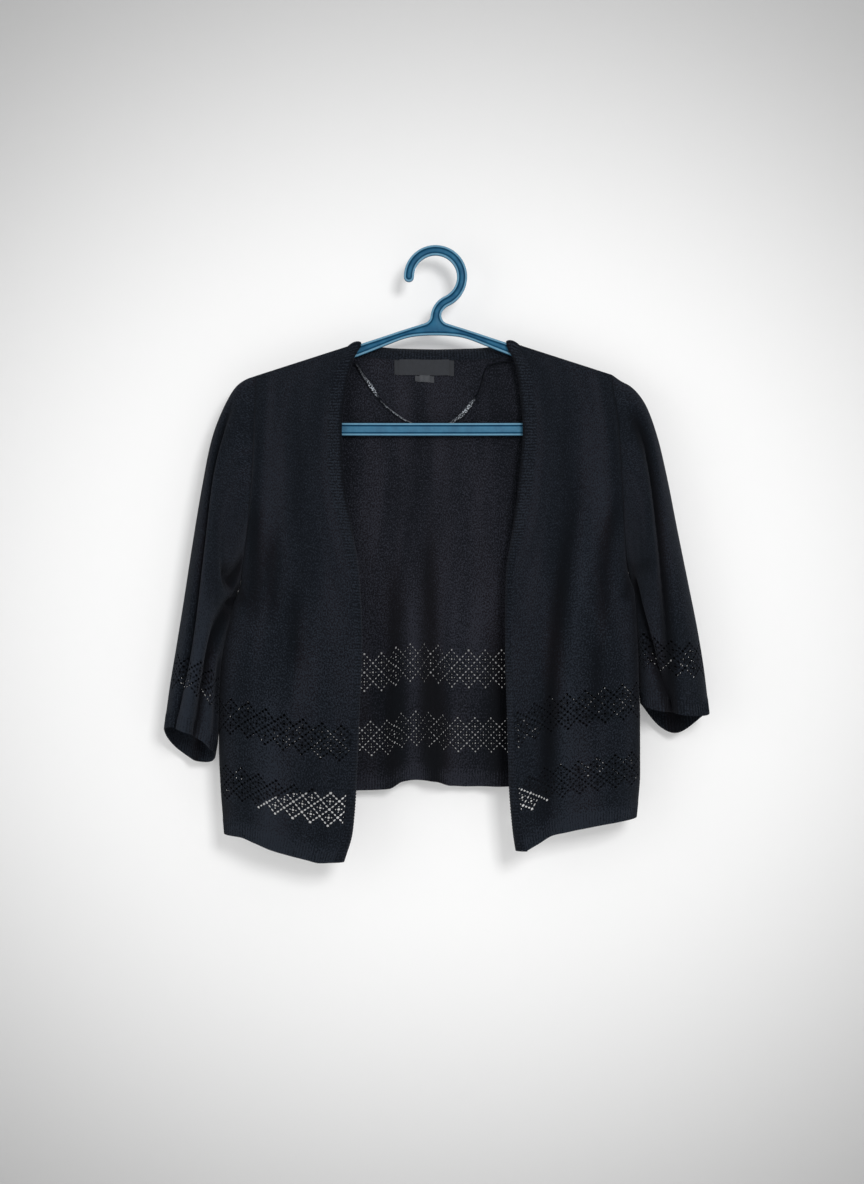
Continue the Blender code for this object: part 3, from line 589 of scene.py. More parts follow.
@dataclass(frozen=True)
class LaceChart:
    """The lace: staggered diamonds of eyelets six blocks wide, each with a flower inside.

    Each kind of eyelet, in the order of Eyelet, has its four radii in blocks, from the right round.
    """

    repeat: int = 6
    rows: int = 13
    radii: tuple[tuple[float, ...], ...] = (
        (0.00, 0.00, 0.00, 0.00),
        (0.36, 0.62, 0.36, 0.30),
        (0.36, 0.30, 0.36, 0.62),
        (0.45, 0.56, 0.45, 0.56),
        (0.42, 0.42, 0.42, 0.42),
        (0.22, 0.24, 0.22, 0.24),
    )

    def blocks(self, columns: int, phase: int) -> Array:
        """Which eyelet each block has.

        Two sets of diagonals cross every half repeat. A flower stands in the middle of each
        diamond, with a petal on its four sides. Below the lowest crossings and above the highest
        ones the chart is cut to a zigzag.

        Args:
            columns: Number of blocks across.
            phase: How many blocks the pattern is moved to the left.

        Returns:
            Eyelet numbers, rows by columns.
        """
        y, x = np.indices((self.rows, columns))
        x = x + phase
        rising, falling = (x - y) % self.repeat, (x + y) % self.repeat
        chart = np.zeros((self.rows, columns), int)
        chart[rising == 0] = Eyelet.RISING
        chart[falling == 0] = Eyelet.FALLING
        chart[(rising == 0) & (falling == 0)] = Eyelet.CROSSING
        chart[(rising == 3) & (falling == 3)] = Eyelet.FLOWER
        chart[np.isin(rising, (2, 4)) & np.isin(falling, (2, 4))] = Eyelet.PETAL
        from_tip = np.abs((x + self.repeat // 2) % self.repeat - self.repeat // 2)
        edge = np.minimum(y, self.rows - 1 - y)
        chart[(edge < self.repeat // 2) & (from_tip > edge)] = Eyelet.NONE
        return chart

    def at_rows(self, phases: dict[int, int], columns: int) -> dict[int, Array]:
        """The chart's rows, by the grid's rows that they start at.

        Args:
            phases: The first grid row of each lace band, with the band's phase.
            columns: Number of blocks across.

        Returns:
            Eyelet numbers for pairs of grid rows.
        """
        return {
            first + 2 * number: row
            for first, phase in phases.items()
            for number, row in enumerate(self.blocks(columns, phase))
        }

    def rings(self, kinds: Array, openness: float) -> Array:
        """The eight corners of each eyelet's ring, as shares of its block.

        Args:
            kinds: Eyelet numbers of the blocks.
            openness: How far the eyelets are pulled open, as a share of the chart's size.

        Returns:
            Places (across, up) from 0 to 1, blocks by 8 by 2, anticlockwise from the right.
        """
        radius = np.tile(np.array(self.radii)[kinds], 2) * openness
        radius = radius * RANDOM.uniform(0.86, 1.06, (len(kinds), 1))
        radius = radius * RANDOM.uniform(0.94, 1.06, radius.shape)
        angle = np.arange(8) * TAU / 8
        turn = np.stack([np.cos(angle), np.sin(angle)], axis=-1)
        return np.clip(0.5 + radius[..., None] * turn, 0.06, 0.94)


# Corners of a one-stitch face, as rows above and columns beyond its first point
SQUARE = ((0, 0), (0, 1), (1, 1), (1, 0))
# The eight points round a block of four stitches, from the middle of its far side up and round
BLOCK = ((1, 2), (2, 2), (2, 1), (2, 0), (1, 0), (0, 0), (0, 1), (0, 2))
# Places in that list of the block's corners, from its first point along the row and round
BLOCK_CORNERS = (5, 7, 1, 3)


@dataclass
class Cloth:
    """A sheet on a grid of half blocks, knitted with lace in some of its rows.

    Rows marked fine have a point at every half block, others only at every whole one, and a face
    with five corners joins the two. Lace covers pairs of fine rows. The width scales the distance
    across of each row.
    """

    name: str
    outer: Array
    inner: Array
    across: Array
    up: Array
    fine: Array
    lace: dict[int, Array] = field(default_factory=dict)
    keep: Array | None = None
    wrap: bool = False
    width: Array | float = 1.0
    shade: Array | float = 0.0
    eyelet_shade: float = 1.5
    openness: float = 1.0

    def layout(self) -> tuple[list[Array], Array, Array]:
        """The faces of one side of the cloth.

        Returns:
            Faces in one array for each number of corners; the four corner points of each open
            block; and the places of its ring's points in it.
        """
        rows, columns = self.outer.shape[:2]
        halves = np.arange(columns // 2 * 2)
        blocks = halves[::2]
        quads, fives, corners, shares = [], [], [], []
        made = rows * columns

        def cells(low: int, first: Array, places: tuple[tuple[int, int], ...]) -> Array:
            """One face from each first column, with its corners at places above and beside it."""
            return np.stack([(low + up) * columns + (first + over) % columns for up, over in places], 1)

        r = 0
        while r < rows - 1:
            if r in self.lace:
                kinds = self.lace[r]
                plain = (kinds == Eyelet.NONE).repeat(2)
                quads += [cells(low, halves, SQUARE)[plain] for low in (r, r + 1)]
                edge = cells(r, blocks[kinds > 0], BLOCK)
                ring = made + np.arange(edge.size).reshape(edge.shape)
                made += edge.size
                around = np.stack([edge, np.roll(edge, -1, 1), np.roll(ring, -1, 1), ring], axis=2)
                quads.append(around.reshape(-1, 4))
                corners.append(edge[:, BLOCK_CORNERS])
                shares.append(CHART.rings(kinds[kinds > 0], self.openness))
                r += 2
                continue
            if self.fine[r] and self.fine[r + 1]:
                quads.append(cells(r, halves, SQUARE))
            elif self.fine[r]:
                fives.append(cells(r, blocks, ((0, 0), (0, 1), (0, 2), (1, 2), (1, 0))))
            elif self.fine[r + 1]:
                fives.append(cells(r, blocks, ((0, 0), (0, 2), (1, 2), (1, 1), (1, 0))))
            else:
                wide = cells(r, blocks, ((0, 0), (0, 2), (1, 2), (1, 0)))
                quads.append(wide if self.keep is None else wide[self.keep[r]])
            r += 1
        faces = [np.concatenate(group) for group in (quads, fives) if group]
        if not corners:
            return faces, np.zeros((0, 4), int), np.zeros((0, 8, 2))
        return faces, np.concatenate(corners), np.concatenate(shares)

    def mesh(self) -> bpy.types.Mesh:
        """The closed shell: both faces of the cloth, and a wall along every free edge.

        Each point carries its place on both faces, its place on the cloth, its row's width and
        its shade. A ring's points take theirs from its block's corners in proportion.

        Returns:
            The mesh with its UV map.
        """
        faces, corner, share = self.layout()
        grid = self.outer.shape[:2]
        width = np.broadcast_to(np.reshape(self.width, (-1, 1)), grid)
        flat = np.stack([self.across, self.up, width, np.broadcast_to(self.shade, grid)], axis=-1)
        values = np.concatenate([self.outer, self.inner, flat], axis=-1).reshape(-1, 10)
        a, b = share[..., 0], share[..., 1]
        weight = np.stack([(1 - a) * (1 - b), a * (1 - b), a * b, (1 - a) * b], axis=-1)
        around = values[corner]
        around[..., 6] = self.unwrapped(around[..., 6])
        # Painted shade round each eyelet's ring
        around[..., 9] += self.eyelet_shade
        values = np.concatenate([values, (weight @ around).reshape(-1, 10)])
        used = np.unique(np.concatenate([group.ravel() for group in faces]))
        faces = [np.searchsorted(used, group) for group in faces]
        values = values[used]
        count = len(used)
        start = np.concatenate([group.ravel() for group in faces])
        end = np.concatenate([np.roll(group, -1, axis=1).ravel() for group in faces])
        free = ~np.isin(start * count + end, end * count + start)
        a, b = start[free], end[free]
        wall = np.stack([b, a, a + count, b + count], axis=1)
        behind = [group[:, ::-1] + count for group in faces]
        points = np.concatenate([values[:, :3], values[:, 3:6]])
        mesh = make_mesh(self.name, points, [*faces, *behind, wall])
        set_attribute(mesh, "shade", np.tile(values[:, 9], 2))
        across, up, width = values[corner_points(mesh) % count, 6:9].T
        if self.wrap:
            totals = np.zeros(len(mesh.polygons), np.int32)
            mesh.polygons.foreach_get("loop_total", totals)
            first = np.cumsum(totals) - totals
            reach = np.maximum.reduceat(across, first) - np.minimum.reduceat(across, first)
            across = np.where(np.repeat(reach > 0.5, totals) & (across < 0), across + 1, across)
        set_cloth_map(mesh, across * width, up)
        return mesh

    def unwrapped(self, turns: Array) -> Array:
        """Take the jump at the underarm out of the turns at blocks' corners.

        Args:
            turns: Turns of each block's corners, from -0.5 to 0.5.

        Returns:
            The turns, with a whole one added where a block reaches over the jump.
        """
        if not self.wrap:
            return turns
        jump = turns.max(axis=1, keepdims=True) - turns.min(axis=1, keepdims=True) > 0.5
        return np.where(jump & (turns < 0), turns + 1, turns)


# ---------------------------------------------------------------- the body's shape

LEVELS = (0, 0.1, 0.2, 0.3, 0.4, 0.5, 0.55, 0.6, 0.7, 0.8, 0.9, 0.97, 1)
EDGE_HEIGHTS = (-652, -620, -570, -500, -420, -350, -290, -240, -190, -140, -118, -104)
HEM_SHARES = (0, 0.12, 0.25, 0.40, 0.55, 0.70, 0.85, 1)


@dataclass(frozen=True)
class Pair:
    """One value for each of the wearer's sides."""

    right: Curve | float
    left: Curve | float

    def __getitem__(self, side: Side) -> Curve | float:
        """The value of one side."""
        return self.right if side is Side.RIGHT else self.left


@dataclass(frozen=True)
class BodyShape:
    """The sizes that the panels share: shoulder line, side seams, front edges, hems and depths."""

    seam_gap: float = 0.3 * MM
    seam_lap: float = 0.05 * MM
    wall: float = 0.9 * MM
    band_width: float = 15 * MM
    shoulder_start: tuple[float, float] = (77 * MM, -92.4 * MM)
    shoulder_slope: float = 0.322
    roll: float = 6 * MM
    roll_rows: int = 5
    armpit_level: float = 0.55
    tip_x: Pair = Pair(194 * MM, 190 * MM)
    neck_x: Pair = Pair(95 * MM, 91 * MM)
    hem_side_z: Pair = Pair(-624 * MM, -606 * MM)
    armpit_z: Pair = Pair(-356 * MM, -342 * MM)
    side_out: Pair = Pair(
        Curve(LEVELS, (228, 232, 234, 233.5, 231, 219.5, 211, 207, 200.5, 196.5, 195, 194, 194)),
        Curve(LEVELS, (217, 221, 221, 220, 219, 216, 208, 204.5, 201.5, 199, 196, 191.5, 190)),
    )
    armhole: Curve = Curve(LEVELS, (0, 0, 0, 0, 0, 0, 0, 9, 14, 15, 12, 8, 6))
    edge: Pair = Pair(
        Curve(EDGE_HEIGHTS, (98, 89, 85, 82, 79, 82, 91, 99, 101, 96, 90, 80), MM),
        Curve(EDGE_HEIGHTS, (88, 83, 79, 77, 75, 76, 84, 90, 94, 90, 85.5, 76), MM),
    )
    edge_roll: Curve = Curve(
        EDGE_HEIGHTS, (80, 90, 110, 140, 150, 130, 60, 10, 0, 0, 0, 0), MM, math.radians(1)
    )
    hem: Pair = Pair(
        Curve(HEM_SHARES, (-652, -652.5, -649, -644.5, -639, -631.5, -625, -624)),
        Curve(HEM_SHARES, (-640, -631.5, -622.5, -618.5, -615, -611.5, -608.5, -606)),
    )
    back_hem: Curve = Curve(
        (0, 0.04, 0.10, 0.18, 0.28, 0.37, 0.40, 0.43, 0.47, 0.51, 0.55, 0.59, 0.68, 0.76, 0.80, 0.85, 0.92,
         1),
        (-624, -607, -589, -582, -580, -579, -577.5, -570, -568.3, -569, -574.7, -575.4, -575, -582, -592,
         -599, -603, -606),
    )
    neck: Curve = Curve((0, 40, 60, 75, 86, 95), (-111, -110, -108.8, -107, -105, -103.5), MM)
    neck_lean: Curve = Curve((0, 40, 60, 75, 86, 95), (90, 85, 74, 52, 30, 18), MM, math.radians(1))
    neck_roll: Curve = Curve((0, 40, 60, 75, 86, 95), (-80, -80, -75, -50, -20, 0), MM, math.radians(1))
    front_depth: Curve = Curve((6, 20, 80, 120, 200, 300, 400, 580), (6, 7.5, 9, 11, 16, 21, 25, 28), MM)
    back_depth: Curve = Curve((6, 20, 80, 120, 200, 300, 400, 580), (6, 8, 8, 9, 12, 15, 17, 19), MM)

    def shoulder(self, x: Array | float) -> Array:
        """Height of the shoulder line: level start, then down in proportion to the distance out."""
        start_x, start_z = self.shoulder_start
        return start_z - self.shoulder_slope * (np.abs(x) - start_x)

    def side_top(self, side: Side) -> float:
        """Height of the shoulder tip at the foot of the roll."""
        return float(self.shoulder(self.tip_x[side])) - self.roll

    def side_rise(self, side: Side, level: Array) -> Array:
        """Share of the side's height, hem to shoulder, that a level stands at.

        Args:
            side: The side.
            level: Levels, with the armpit at its own one.

        Returns:
            Shares from 0 to 1, in two straight pieces that meet at the armpit.
        """
        foot = self.hem_side_z[side]
        knee = (self.armpit_z[side] - foot) / (self.side_top(side) - foot)
        return np.interp(level, (0, self.armpit_level, 1), (0, knee, 1))

    def seam_out(self, side: Side, height: Array) -> Array:
        """Distance from the middle of the seam between a front and its band.

        The band reaches in from its seam by its width times sin(roll)/roll, or 1/roll past a
        quarter turn, so the seam stands that far outside the visible edge.

        Args:
            side: The side.
            height: Heights along the seam.

        Returns:
            Distances in metres.
        """
        roll = np.maximum(np.abs(self.edge_roll(height)), 1e-6)
        reach = np.where(roll < math.pi / 2, np.sin(roll) / roll, 1 / roll)
        return self.edge[side](height) + self.band_width * np.where(roll < 1e-3, 1, reach)

    def roll_section(self) -> tuple[Array, Array]:
        """The turn over the arm: a quarter of |y/r|^3 + |z/r|^3 = 1.

        Returns:
            Distances out and down from the shoulder seam, from the lowest row to the seam.
        """
        angle = np.linspace(math.pi / 2, 0, self.roll_rows + 1)[1:]
        return self.roll * np.sin(angle) ** (2 / 3), self.roll * (1 - np.cos(angle) ** (2 / 3))


BODY = BodyShape()


def bowed(t: Array, start: float, middle: float, end: float) -> Array:
    """A parabola through three values at t = 0, 0.5 and 1."""
    bow = 4 * middle - 3 * start - end
    return start + bow * t + (end - start - bow) * t**2


@dataclass(frozen=True)
class Fold:
    """A soft fold down a panel, in mm: a valley where depth is positive, a ridge where it isn't."""

    top: float
    low: float
    x_top: float
    x_mid: float
    x_low: float
    width: float
    depth: float
    fade: float = 45

    def sink(self, x: Array, z: Array) -> Array:
        """Depth of the fold: a bell across a line that bows through its middle point.

        Args:
            x: Distances across the garment.
            z: Heights.

        Returns:
            How far the cloth sinks, faded at both ends of the fold.
        """
        t = (self.top * MM - z) / ((self.top - self.low) * MM)
        line = bowed(t, self.x_top, self.x_mid, self.x_low) * MM
        ends = ease((self.top * MM - z) / (self.fade * MM)) * ease((z - self.low * MM) / (self.fade * MM))
        return self.depth * MM * ends * np.exp(-(((x - line) / (self.width * MM)) ** 2))


# Heights of the rows of a hem or cuff, in mm, and how far its ribs stand proud
RIB_ROWS = np.array((0, 1.2, 3, 5.5, 8.5, 11.5, 14.5, 17.5, 20.5))
RIB_HEIGHT = 0.4 * MM


def rib_comb(rows: int, columns: int) -> Array:
    """Ribs at a hem or cuff: every second half block stands proud, fading out at the zone's top.

    Args:
        rows: Number of rows in the grid.
        columns: Number of columns in the grid.

    Returns:
        From -1 in the valleys to 1 on the ribs, and 0 above RIB_ROWS.
    """
    fade = np.zeros(rows)
    fade[: len(RIB_ROWS)] = ease((RIB_ROWS[-1] - RIB_ROWS) / 6) * ease((RIB_ROWS + 1.5) / 3)
    return fade[:, None] * np.where(np.arange(columns) % 2 == 0, 1, -1)


def seam_shade(away: Array) -> Array:
    """Painted shade along an armhole's seam: a narrow bell of the distance, as a share of the piece."""
    return 0.35 * np.exp(-((away / 0.012) ** 2))


def round_share(distance: Array, share: float) -> Array:
    """A quarter of an ellipse: 0 at the side, 1 where the layer lies flat."""
    return np.sqrt(1 - (1 - np.clip(distance / share, 0, 1)) ** 2)


@dataclass
class Panel:
    """What the fronts and the back share: rows of rib, plain knit and lace, and the shoulder's roll.

    A share of 0 to 1 counts columns across, and a level of 0 to 1 counts rows below the roll. Each
    kind of panel gives its own x_sign, sides, hem, top_x, rise, x_at and from_side.
    """

    name: str
    node: str
    lower_lace: tuple[float, float]
    upper_lace: tuple[float, float]
    phases: tuple[int, int]
    folds: tuple[tuple[float, ...], ...]
    block: float = 3.35 * MM
    plain_step: float = 3.4
    side_length: float = 560
    plain_share: float = 0.36
    armhole_length: float = 225
    round_share: float = 0.27
    fold_share: float = 0.2
    fold_start: float = BODY.roll
    fold_ease: float = 25 * MM
    depth: Curve = BODY.front_depth
    y_sign: int = -1
    ripple: float = 0.3 * MM
    side_width: float = 0.05
    side_seam_shade: float = 0.9
    shade_depth: float = 8 * MM
    flat: tuple[float, float] = (0.165, 0.545)
    area: float = 0.072
    finish: KnitFinish = KNIT
    openness: float = 1.0
    eyelet_shade: float = 1.5
    dim: float = 0.0
    dim_top: float = -420 * MM
    points: Array = field(init=False)
    normals: Array = field(init=False)
    armpit_row: int = field(init=False)
    foot_row: int = field(init=False)

    def top(self, share: Array) -> Array:
        """Height of the foot of the shoulder's roll."""
        return BODY.shoulder(self.top_x(share)) - BODY.roll

    def wave_share(self, share: Array) -> Array | float:
        """How much of the small waves shows across the panel."""
        return 1.0

    def kept_blocks(self, rows: int, blocks: int) -> Array:
        """Which blocks of each row are knitted."""
        return np.ones((rows, blocks), bool)

    def sink(self, x: Array, z: Array) -> Array:
        """How far the cloth sinks in all its folds together."""
        return sum(Fold(*row).sink(x, z) for row in self.folds)

    def small_waves(self, x: Array, z: Array) -> Array:
        """Slight unevenness of hanging knit: three long crossed waves added up."""
        first = np.sin(x * 71 + 1.3 * np.sin(z * 23))
        return self.ripple * (first + 0.7 * np.sin(z * 57 + x * 31) + 0.5 * np.sin(x * 143 - z * 12))

    def level_at(self, share: Array, height: float) -> Array:
        """The level that stands a height above the hem, in two straight parts.

        Args:
            share: Shares across the panel.
            height: The height.

        Returns:
            One level for each share.
        """
        rise = height / (self.top(share) - self.hem(share))
        level = BODY.armpit_level
        knee = self.rise(share, np.full_like(share, level))
        return np.where(rise < knee, rise / knee * level, level + (rise - knee) / (1 - knee) * (1 - level))

    def surface(self, share: Array, level: Array) -> Array:
        """Outer points below the roll: out by the layer's depth, less the folds, plus small waves.

        Args:
            share: Shares across the panel.
            level: Levels up the panel, in a grid with the shares.

        Returns:
            Points, rows by columns by 3.
        """
        x = self.x_at(share, level)
        z = self.hem(share) + (self.top(share) - self.hem(share)) * self.rise(share, level)
        drop = BODY.shoulder(x) - z
        rim = BODY.armhole(level)
        away = self.from_side(share)
        y = rim + (self.depth(drop) - rim) * round_share(away, self.round_share)
        keep = ease(away / self.fold_share) * ease((drop - self.fold_start) / self.fold_ease)
        waves = self.small_waves(self.x_sign * x, z) * self.wave_share(share)
        y = np.maximum(y - (self.sink(x, z) - waves) * keep, BODY.seam_gap / 2)
        return np.stack([x, self.y_sign * y, z], axis=-1)

    def roll(self, share: Array, foot: Array) -> Array:
        """The turn over the arm, from the row above its foot to the shoulder seam.

        Args:
            share: Shares across the panel.
            foot: The row of points below the turn.

        Returns:
            Points, rows by columns by 3.
        """
        out, drop = BODY.roll_section()
        x = np.broadcast_to(self.top_x(share), (len(out), len(foot)))
        y = self.y_sign * np.maximum(out, BODY.seam_gap / 2)[:, None]
        return np.stack(np.broadcast_arrays(x, y, BODY.shoulder(x) - drop[:, None]), axis=-1)

    def row_plan(self, share: Array) -> tuple[Array, Array, dict[int, int]]:
        """Levels of every row below the roll.

        Heights are measured up from the hem as far as the top of the upper lace, and above it
        rows run evenly to the armpit's level and then to the shoulder's.

        Args:
            share: Shares across the panel.

        Returns:
            Levels, rows by columns; which rows are fine; and the first row of each lace with its
            chart's phase.
        """
        heights = list(RIB_ROWS)
        fine = [True] * len(heights)
        lace = {}
        for phase, (low, high) in zip(self.phases, (self.lower_lace, self.upper_lace)):
            steps = max(2, round((low - heights[-1]) / self.plain_step))
            heights += list(np.linspace(heights[-1], low, steps + 1)[1:-1])
            fine += [False] * (steps - 1)
            lace[len(heights)] = phase
            heights += list(np.linspace(low, high, 2 * CHART.rows + 1))
            fine += [True] * (2 * CHART.rows + 1)
        lower = np.stack([self.level_at(share, height * MM) for height in heights])
        count = round((self.side_length - heights[-1]) * self.plain_share / self.plain_step)
        up = np.linspace(0, 1, count + 1)[1:, None]
        middle = lower[-1] + (BODY.armpit_level - lower[-1]) * up
        count = round(self.armhole_length / self.plain_step)
        upper = BODY.armpit_level + (1 - BODY.armpit_level) * np.linspace(0, 1, count + 1)[1:, None]
        levels = np.concatenate([lower, middle, np.broadcast_to(upper, (count, len(share)))])
        self.armpit_row = len(lower) + len(middle) - 1
        self.foot_row = len(levels) - 1
        return levels, np.array(fine + [False] * (len(levels) - len(fine) + BODY.roll_rows)), lace

    def even_shares(self, first: float, last: float) -> Array:
        """Shares from first to last at half blocks of equal cloth width beside the lace.

        Args:
            first: The share to start from.
            last: The share to end at.

        Returns:
            An odd number of shares, both ends included.
        """
        dense = np.linspace(first, last, 2001)
        line = self.surface(dense[None, :], self.level_at(dense, self.lower_lace[1] * MM)[None, :])[0]
        length = running_length(line)
        blocks = max(1, round(float(length[-1]) / self.block))
        return np.interp(np.linspace(0, length[-1], 2 * blocks + 1), length, dense)

    def side_shade(self, away: Array, level: Array) -> Array:
        """Painted shade along a panel's side: a bell below the armpit and a narrow one up the armhole.

        Args:
            away: Shares of the panel's width, from its side.
            level: Levels up the panel.

        Returns:
            One number for each point.
        """
        below = ease((BODY.armpit_level + 0.03 - level) / 0.12)
        side = self.side_seam_shade * below * np.exp(-((away / self.side_width) ** 2))
        return seam_shade(away) * (1 - below) + side

    def shade(self, share: Array, levels: Array, comb: Array) -> Array:
        """How dark the knit looks, as painted shade in its folds, by its sides and low down, and painted light
        on the ribs and hem.

        Args:
            share: Shares across the panel.
            levels: Levels of the rows below the roll.
            comb: The ribs.

        Returns:
            One number for each point, 1 where folds sink the cloth by shade_depth.
        """
        x, z = self.points[..., 0], self.points[..., 2]
        side = np.zeros(x.shape)
        side[: len(levels)] = self.side_shade(self.from_side(share), levels)
        # Painted shade low on the back
        dim = self.dim * ease((self.dim_top - z) / (80 * MM))
        # Painted light over the hem's ribs
        glow = np.zeros((len(x), 1))
        glow[: len(RIB_ROWS), 0] = 0.7 * ease((RIB_ROWS[-1] + 4 - RIB_ROWS) / 16)
        return self.sink(x, z) / self.shade_depth + side + dim - 0.5 * comb - glow

    def knit(self, share: Array) -> None:
        """Knit the panel on its columns, and keep its points and normals for the pieces sewn on.

        Args:
            share: Shares of the columns.
        """
        levels, fine, lace = self.row_plan(share)
        points = self.surface(share[None, :], levels)
        points = np.concatenate([points, self.roll(share, points[-1])])
        points[: self.armpit_row, list(self.sides), 1] = -self.y_sign * BODY.seam_lap
        normals = -self.x_sign * self.y_sign * grid_normals(points)
        self.points = points
        self.normals = square_to_seams(normals, points, self.sides, self.armpit_row)
        comb = rib_comb(*points.shape[:2])
        relief = RIB_HEIGHT * comb[..., None] * normals
        cloth = Cloth(
            self.name,
            points + relief,
            points - BODY.wall * normals + relief,
            np.broadcast_to(np.arange(len(share)) * self.block / 2, points.shape[:2]),
            running_length(points),
            fine,
            CHART.at_rows(lace, len(share) // 2),
            self.kept_blocks(len(points) - 1, len(share) // 2),
            shade=self.shade(share, levels, comb),
            eyelet_shade=self.eyelet_shade,
            openness=self.openness,
        )
        piece = add_piece(cloth.mesh(), self.finish, self.node)


def square_to_seams(normals: Array, points: Array, sides: dict[int, int], armpit_row: int) -> Array:
    """Turn the normals at a panel's seams so that the walls of two pieces meet face to face.

    Along the shoulder seam they have no y part, down the side seam they point straight out, and
    along the armhole they have no x part and are square to the armhole's own line.

    Args:
        normals: The grid's normals, which are changed.
        points: The grid's points.
        sides: Column number of each side seam, with the sign of x there.
        armpit_row: The row where the side seam ends.

    Returns:
        The same array of normals.
    """
    normals[-1, :, 1] = 0
    normals[-1] = unit(normals[-1])
    for index, sign in sides.items():
        normals[:armpit_row, index] = (sign, 0, 0)
        line = points[armpit_row:, index]
        along = np.gradient(line, axis=0)
        along[0] = (0, np.sign(line[1, 1]), 0)
        along[-1] = (0, -np.sign(line[1, 1]), 0)
        square = np.stack([np.zeros(len(line)), along[:, 2], -along[:, 1]], axis=1)
        square *= np.sign(line[1, 1])
        square[0] = (0, 0, -1)
        square[-1] = (0, 0, 1)
        normals[armpit_row:, index] = unit(square)
    return normals


@dataclass
class Front(Panel):
    """One front, from its band seam (share 0) to its side seam (share 1)."""

    side: Side = Side.RIGHT
    seam_quiet: float = 0.08

    @property
    def x_sign(self) -> int:
        """The sign of x on this side."""
        return self.side.sign

    @property
    def sides(self) -> dict[int, int]:
        """The column of the side seam, with the sign of x there."""
        return {-1: self.x_sign}

    def hem(self, share: Array) -> Array:
        """Height of the hem across the front."""
        return BODY.hem[self.side](share)

    def top_x(self, share: Array) -> Array:
        """Place of each column's top, from the neck corner to the shoulder tip."""
        neck, tip = BODY.neck_x[self.side], BODY.tip_x[self.side]
        return self.x_sign * (neck + (tip - neck) * share)

    def rise(self, share: Array, level: Array) -> Array:
        """Share of the height at a level, which is the same all across."""
        return BODY.side_rise(self.side, level)

    def x_at(self, share: Array, level: Array) -> Array:
        """Place across: straight from the band's seam at that rise to the side."""
        hem = self.hem(0.0)
        seam = BODY.seam_out(self.side, hem + (self.top(0.0) - hem) * self.rise(0.0, level))
        return self.x_sign * (seam + (BODY.side_out[self.side](level) - seam) * share)

    def from_side(self, share: Array) -> Array:
        """Share of the width from the side seam."""
        return 1 - share

    def wave_share(self, share: Array) -> Array:
        """How much of the small waves shows: none at the band's seam."""
        return ease(share / self.seam_quiet)

    def build(self) -> None:
        """Knit the front."""
        self.knit(self.even_shares(0, 1))


@dataclass
class Back(Panel):
    """The back, from the right side seam (share 0) to the left one (share 1)."""

    block: float = 3.15 * MM
    plain_step: float = 5.5
    round_share: float = 0.08
    fold_share: float = 0.12
    fold_start: float = 80 * MM
    fold_ease: float = 60 * MM
    depth: Curve = BODY.back_depth
    y_sign: int = 1
    flat: tuple[float, float] = (0.47, 0.515)
    area: float = 0.215
    finish: KnitFinish = KNIT_BACK
    openness: float = 0.68
    eyelet_shade: float = 0.9
    dim: float = 0.3
    neck_columns: tuple[int, int] = field(init=False)

    @property
    def x_sign(self) -> int:
        """Columns run towards +X."""
        return 1

    @property
    def sides(self) -> dict[int, int]:
        """The columns of both side seams, with the sign of x there."""
        return {0: -1, -1: 1}

    def hem(self, share: Array) -> Array:
        """Height of the hem across the back."""
        return BODY.back_hem(share)

    def top_x(self, share: Array) -> Array:
        """Place of each column's top, from the right tip to the left one."""
        return -BODY.tip_x.right + (BODY.tip_x.right + BODY.tip_x.left) * share

    def top(self, share: Array) -> Array:
        """Height of the foot of the roll, or of the neck seam between the neck corners."""
        x = self.top_x(share)
        on_neck = (x > -BODY.neck_x.right + 0.1 * MM) & (x < BODY.neck_x.left - 0.1 * MM)
        return np.where(on_neck, BODY.neck(np.abs(x)), super().top(share))

    def rise(self, share: Array, level: Array) -> Array:
        """Share of the height at a level: the two sides' rises in proportion to the distance."""
        return (1 - share) * BODY.side_rise(Side.RIGHT, level) + share * BODY.side_rise(Side.LEFT, level)

    def x_at(self, share: Array, level: Array) -> Array:
        """Place across: straight from side seam to side seam."""
        right = -BODY.side_out.right(level)
        return right + (BODY.side_out.left(level) - right) * share

    def from_side(self, share: Array) -> Array:
        """Share of the width from the nearer side seam."""
        return np.minimum(share, 1 - share)

    def roll(self, share: Array, foot: Array) -> Array:
        """The turn over the arm outside the neck corners.

        Between them the rows only steady the normals of the neck seam, and have no faces.

        Args:
            share: Shares across the back.
            foot: The row of points below the turn.

        Returns:
            Points, rows by columns by 3.
        """
        points = super().roll(share, foot)
        neck = slice(self.neck_columns[0] + 1, self.neck_columns[1])
        points[:, neck, 1] = foot[neck, 1]
        points[:, neck, 2] = foot[neck, 2] + np.arange(1, BODY.roll_rows + 1)[:, None] * MM
        return points

    def kept_blocks(self, rows: int, blocks: int) -> Array:
        """Every block, but for those above the neck seam.

        Args:
            rows: Number of rows of blocks.
            blocks: Number of blocks across.

        Returns:
            True where a block is knitted.
        """
        keep = super().kept_blocks(rows, blocks)
        first, last = self.neck_columns
        keep[self.foot_row :, first // 2 : last // 2] = False
        return keep

    def build(self) -> None:
        """Knit the back on columns that meet the neck corners."""
        width = BODY.tip_x.right + BODY.tip_x.left
        right = (BODY.tip_x.right - BODY.neck_x.right) / width
        left = 1 - (BODY.tip_x.left - BODY.neck_x.left) / width
        parts = [self.even_shares(a, b) for a, b in ((0, right), (right, left), (left, 1))]
        first = len(parts[0]) - 1
        self.neck_columns = (first, first + len(parts[1]) - 1)
        self.knit(np.concatenate([parts[0], parts[1][1:], parts[2][1:]]))


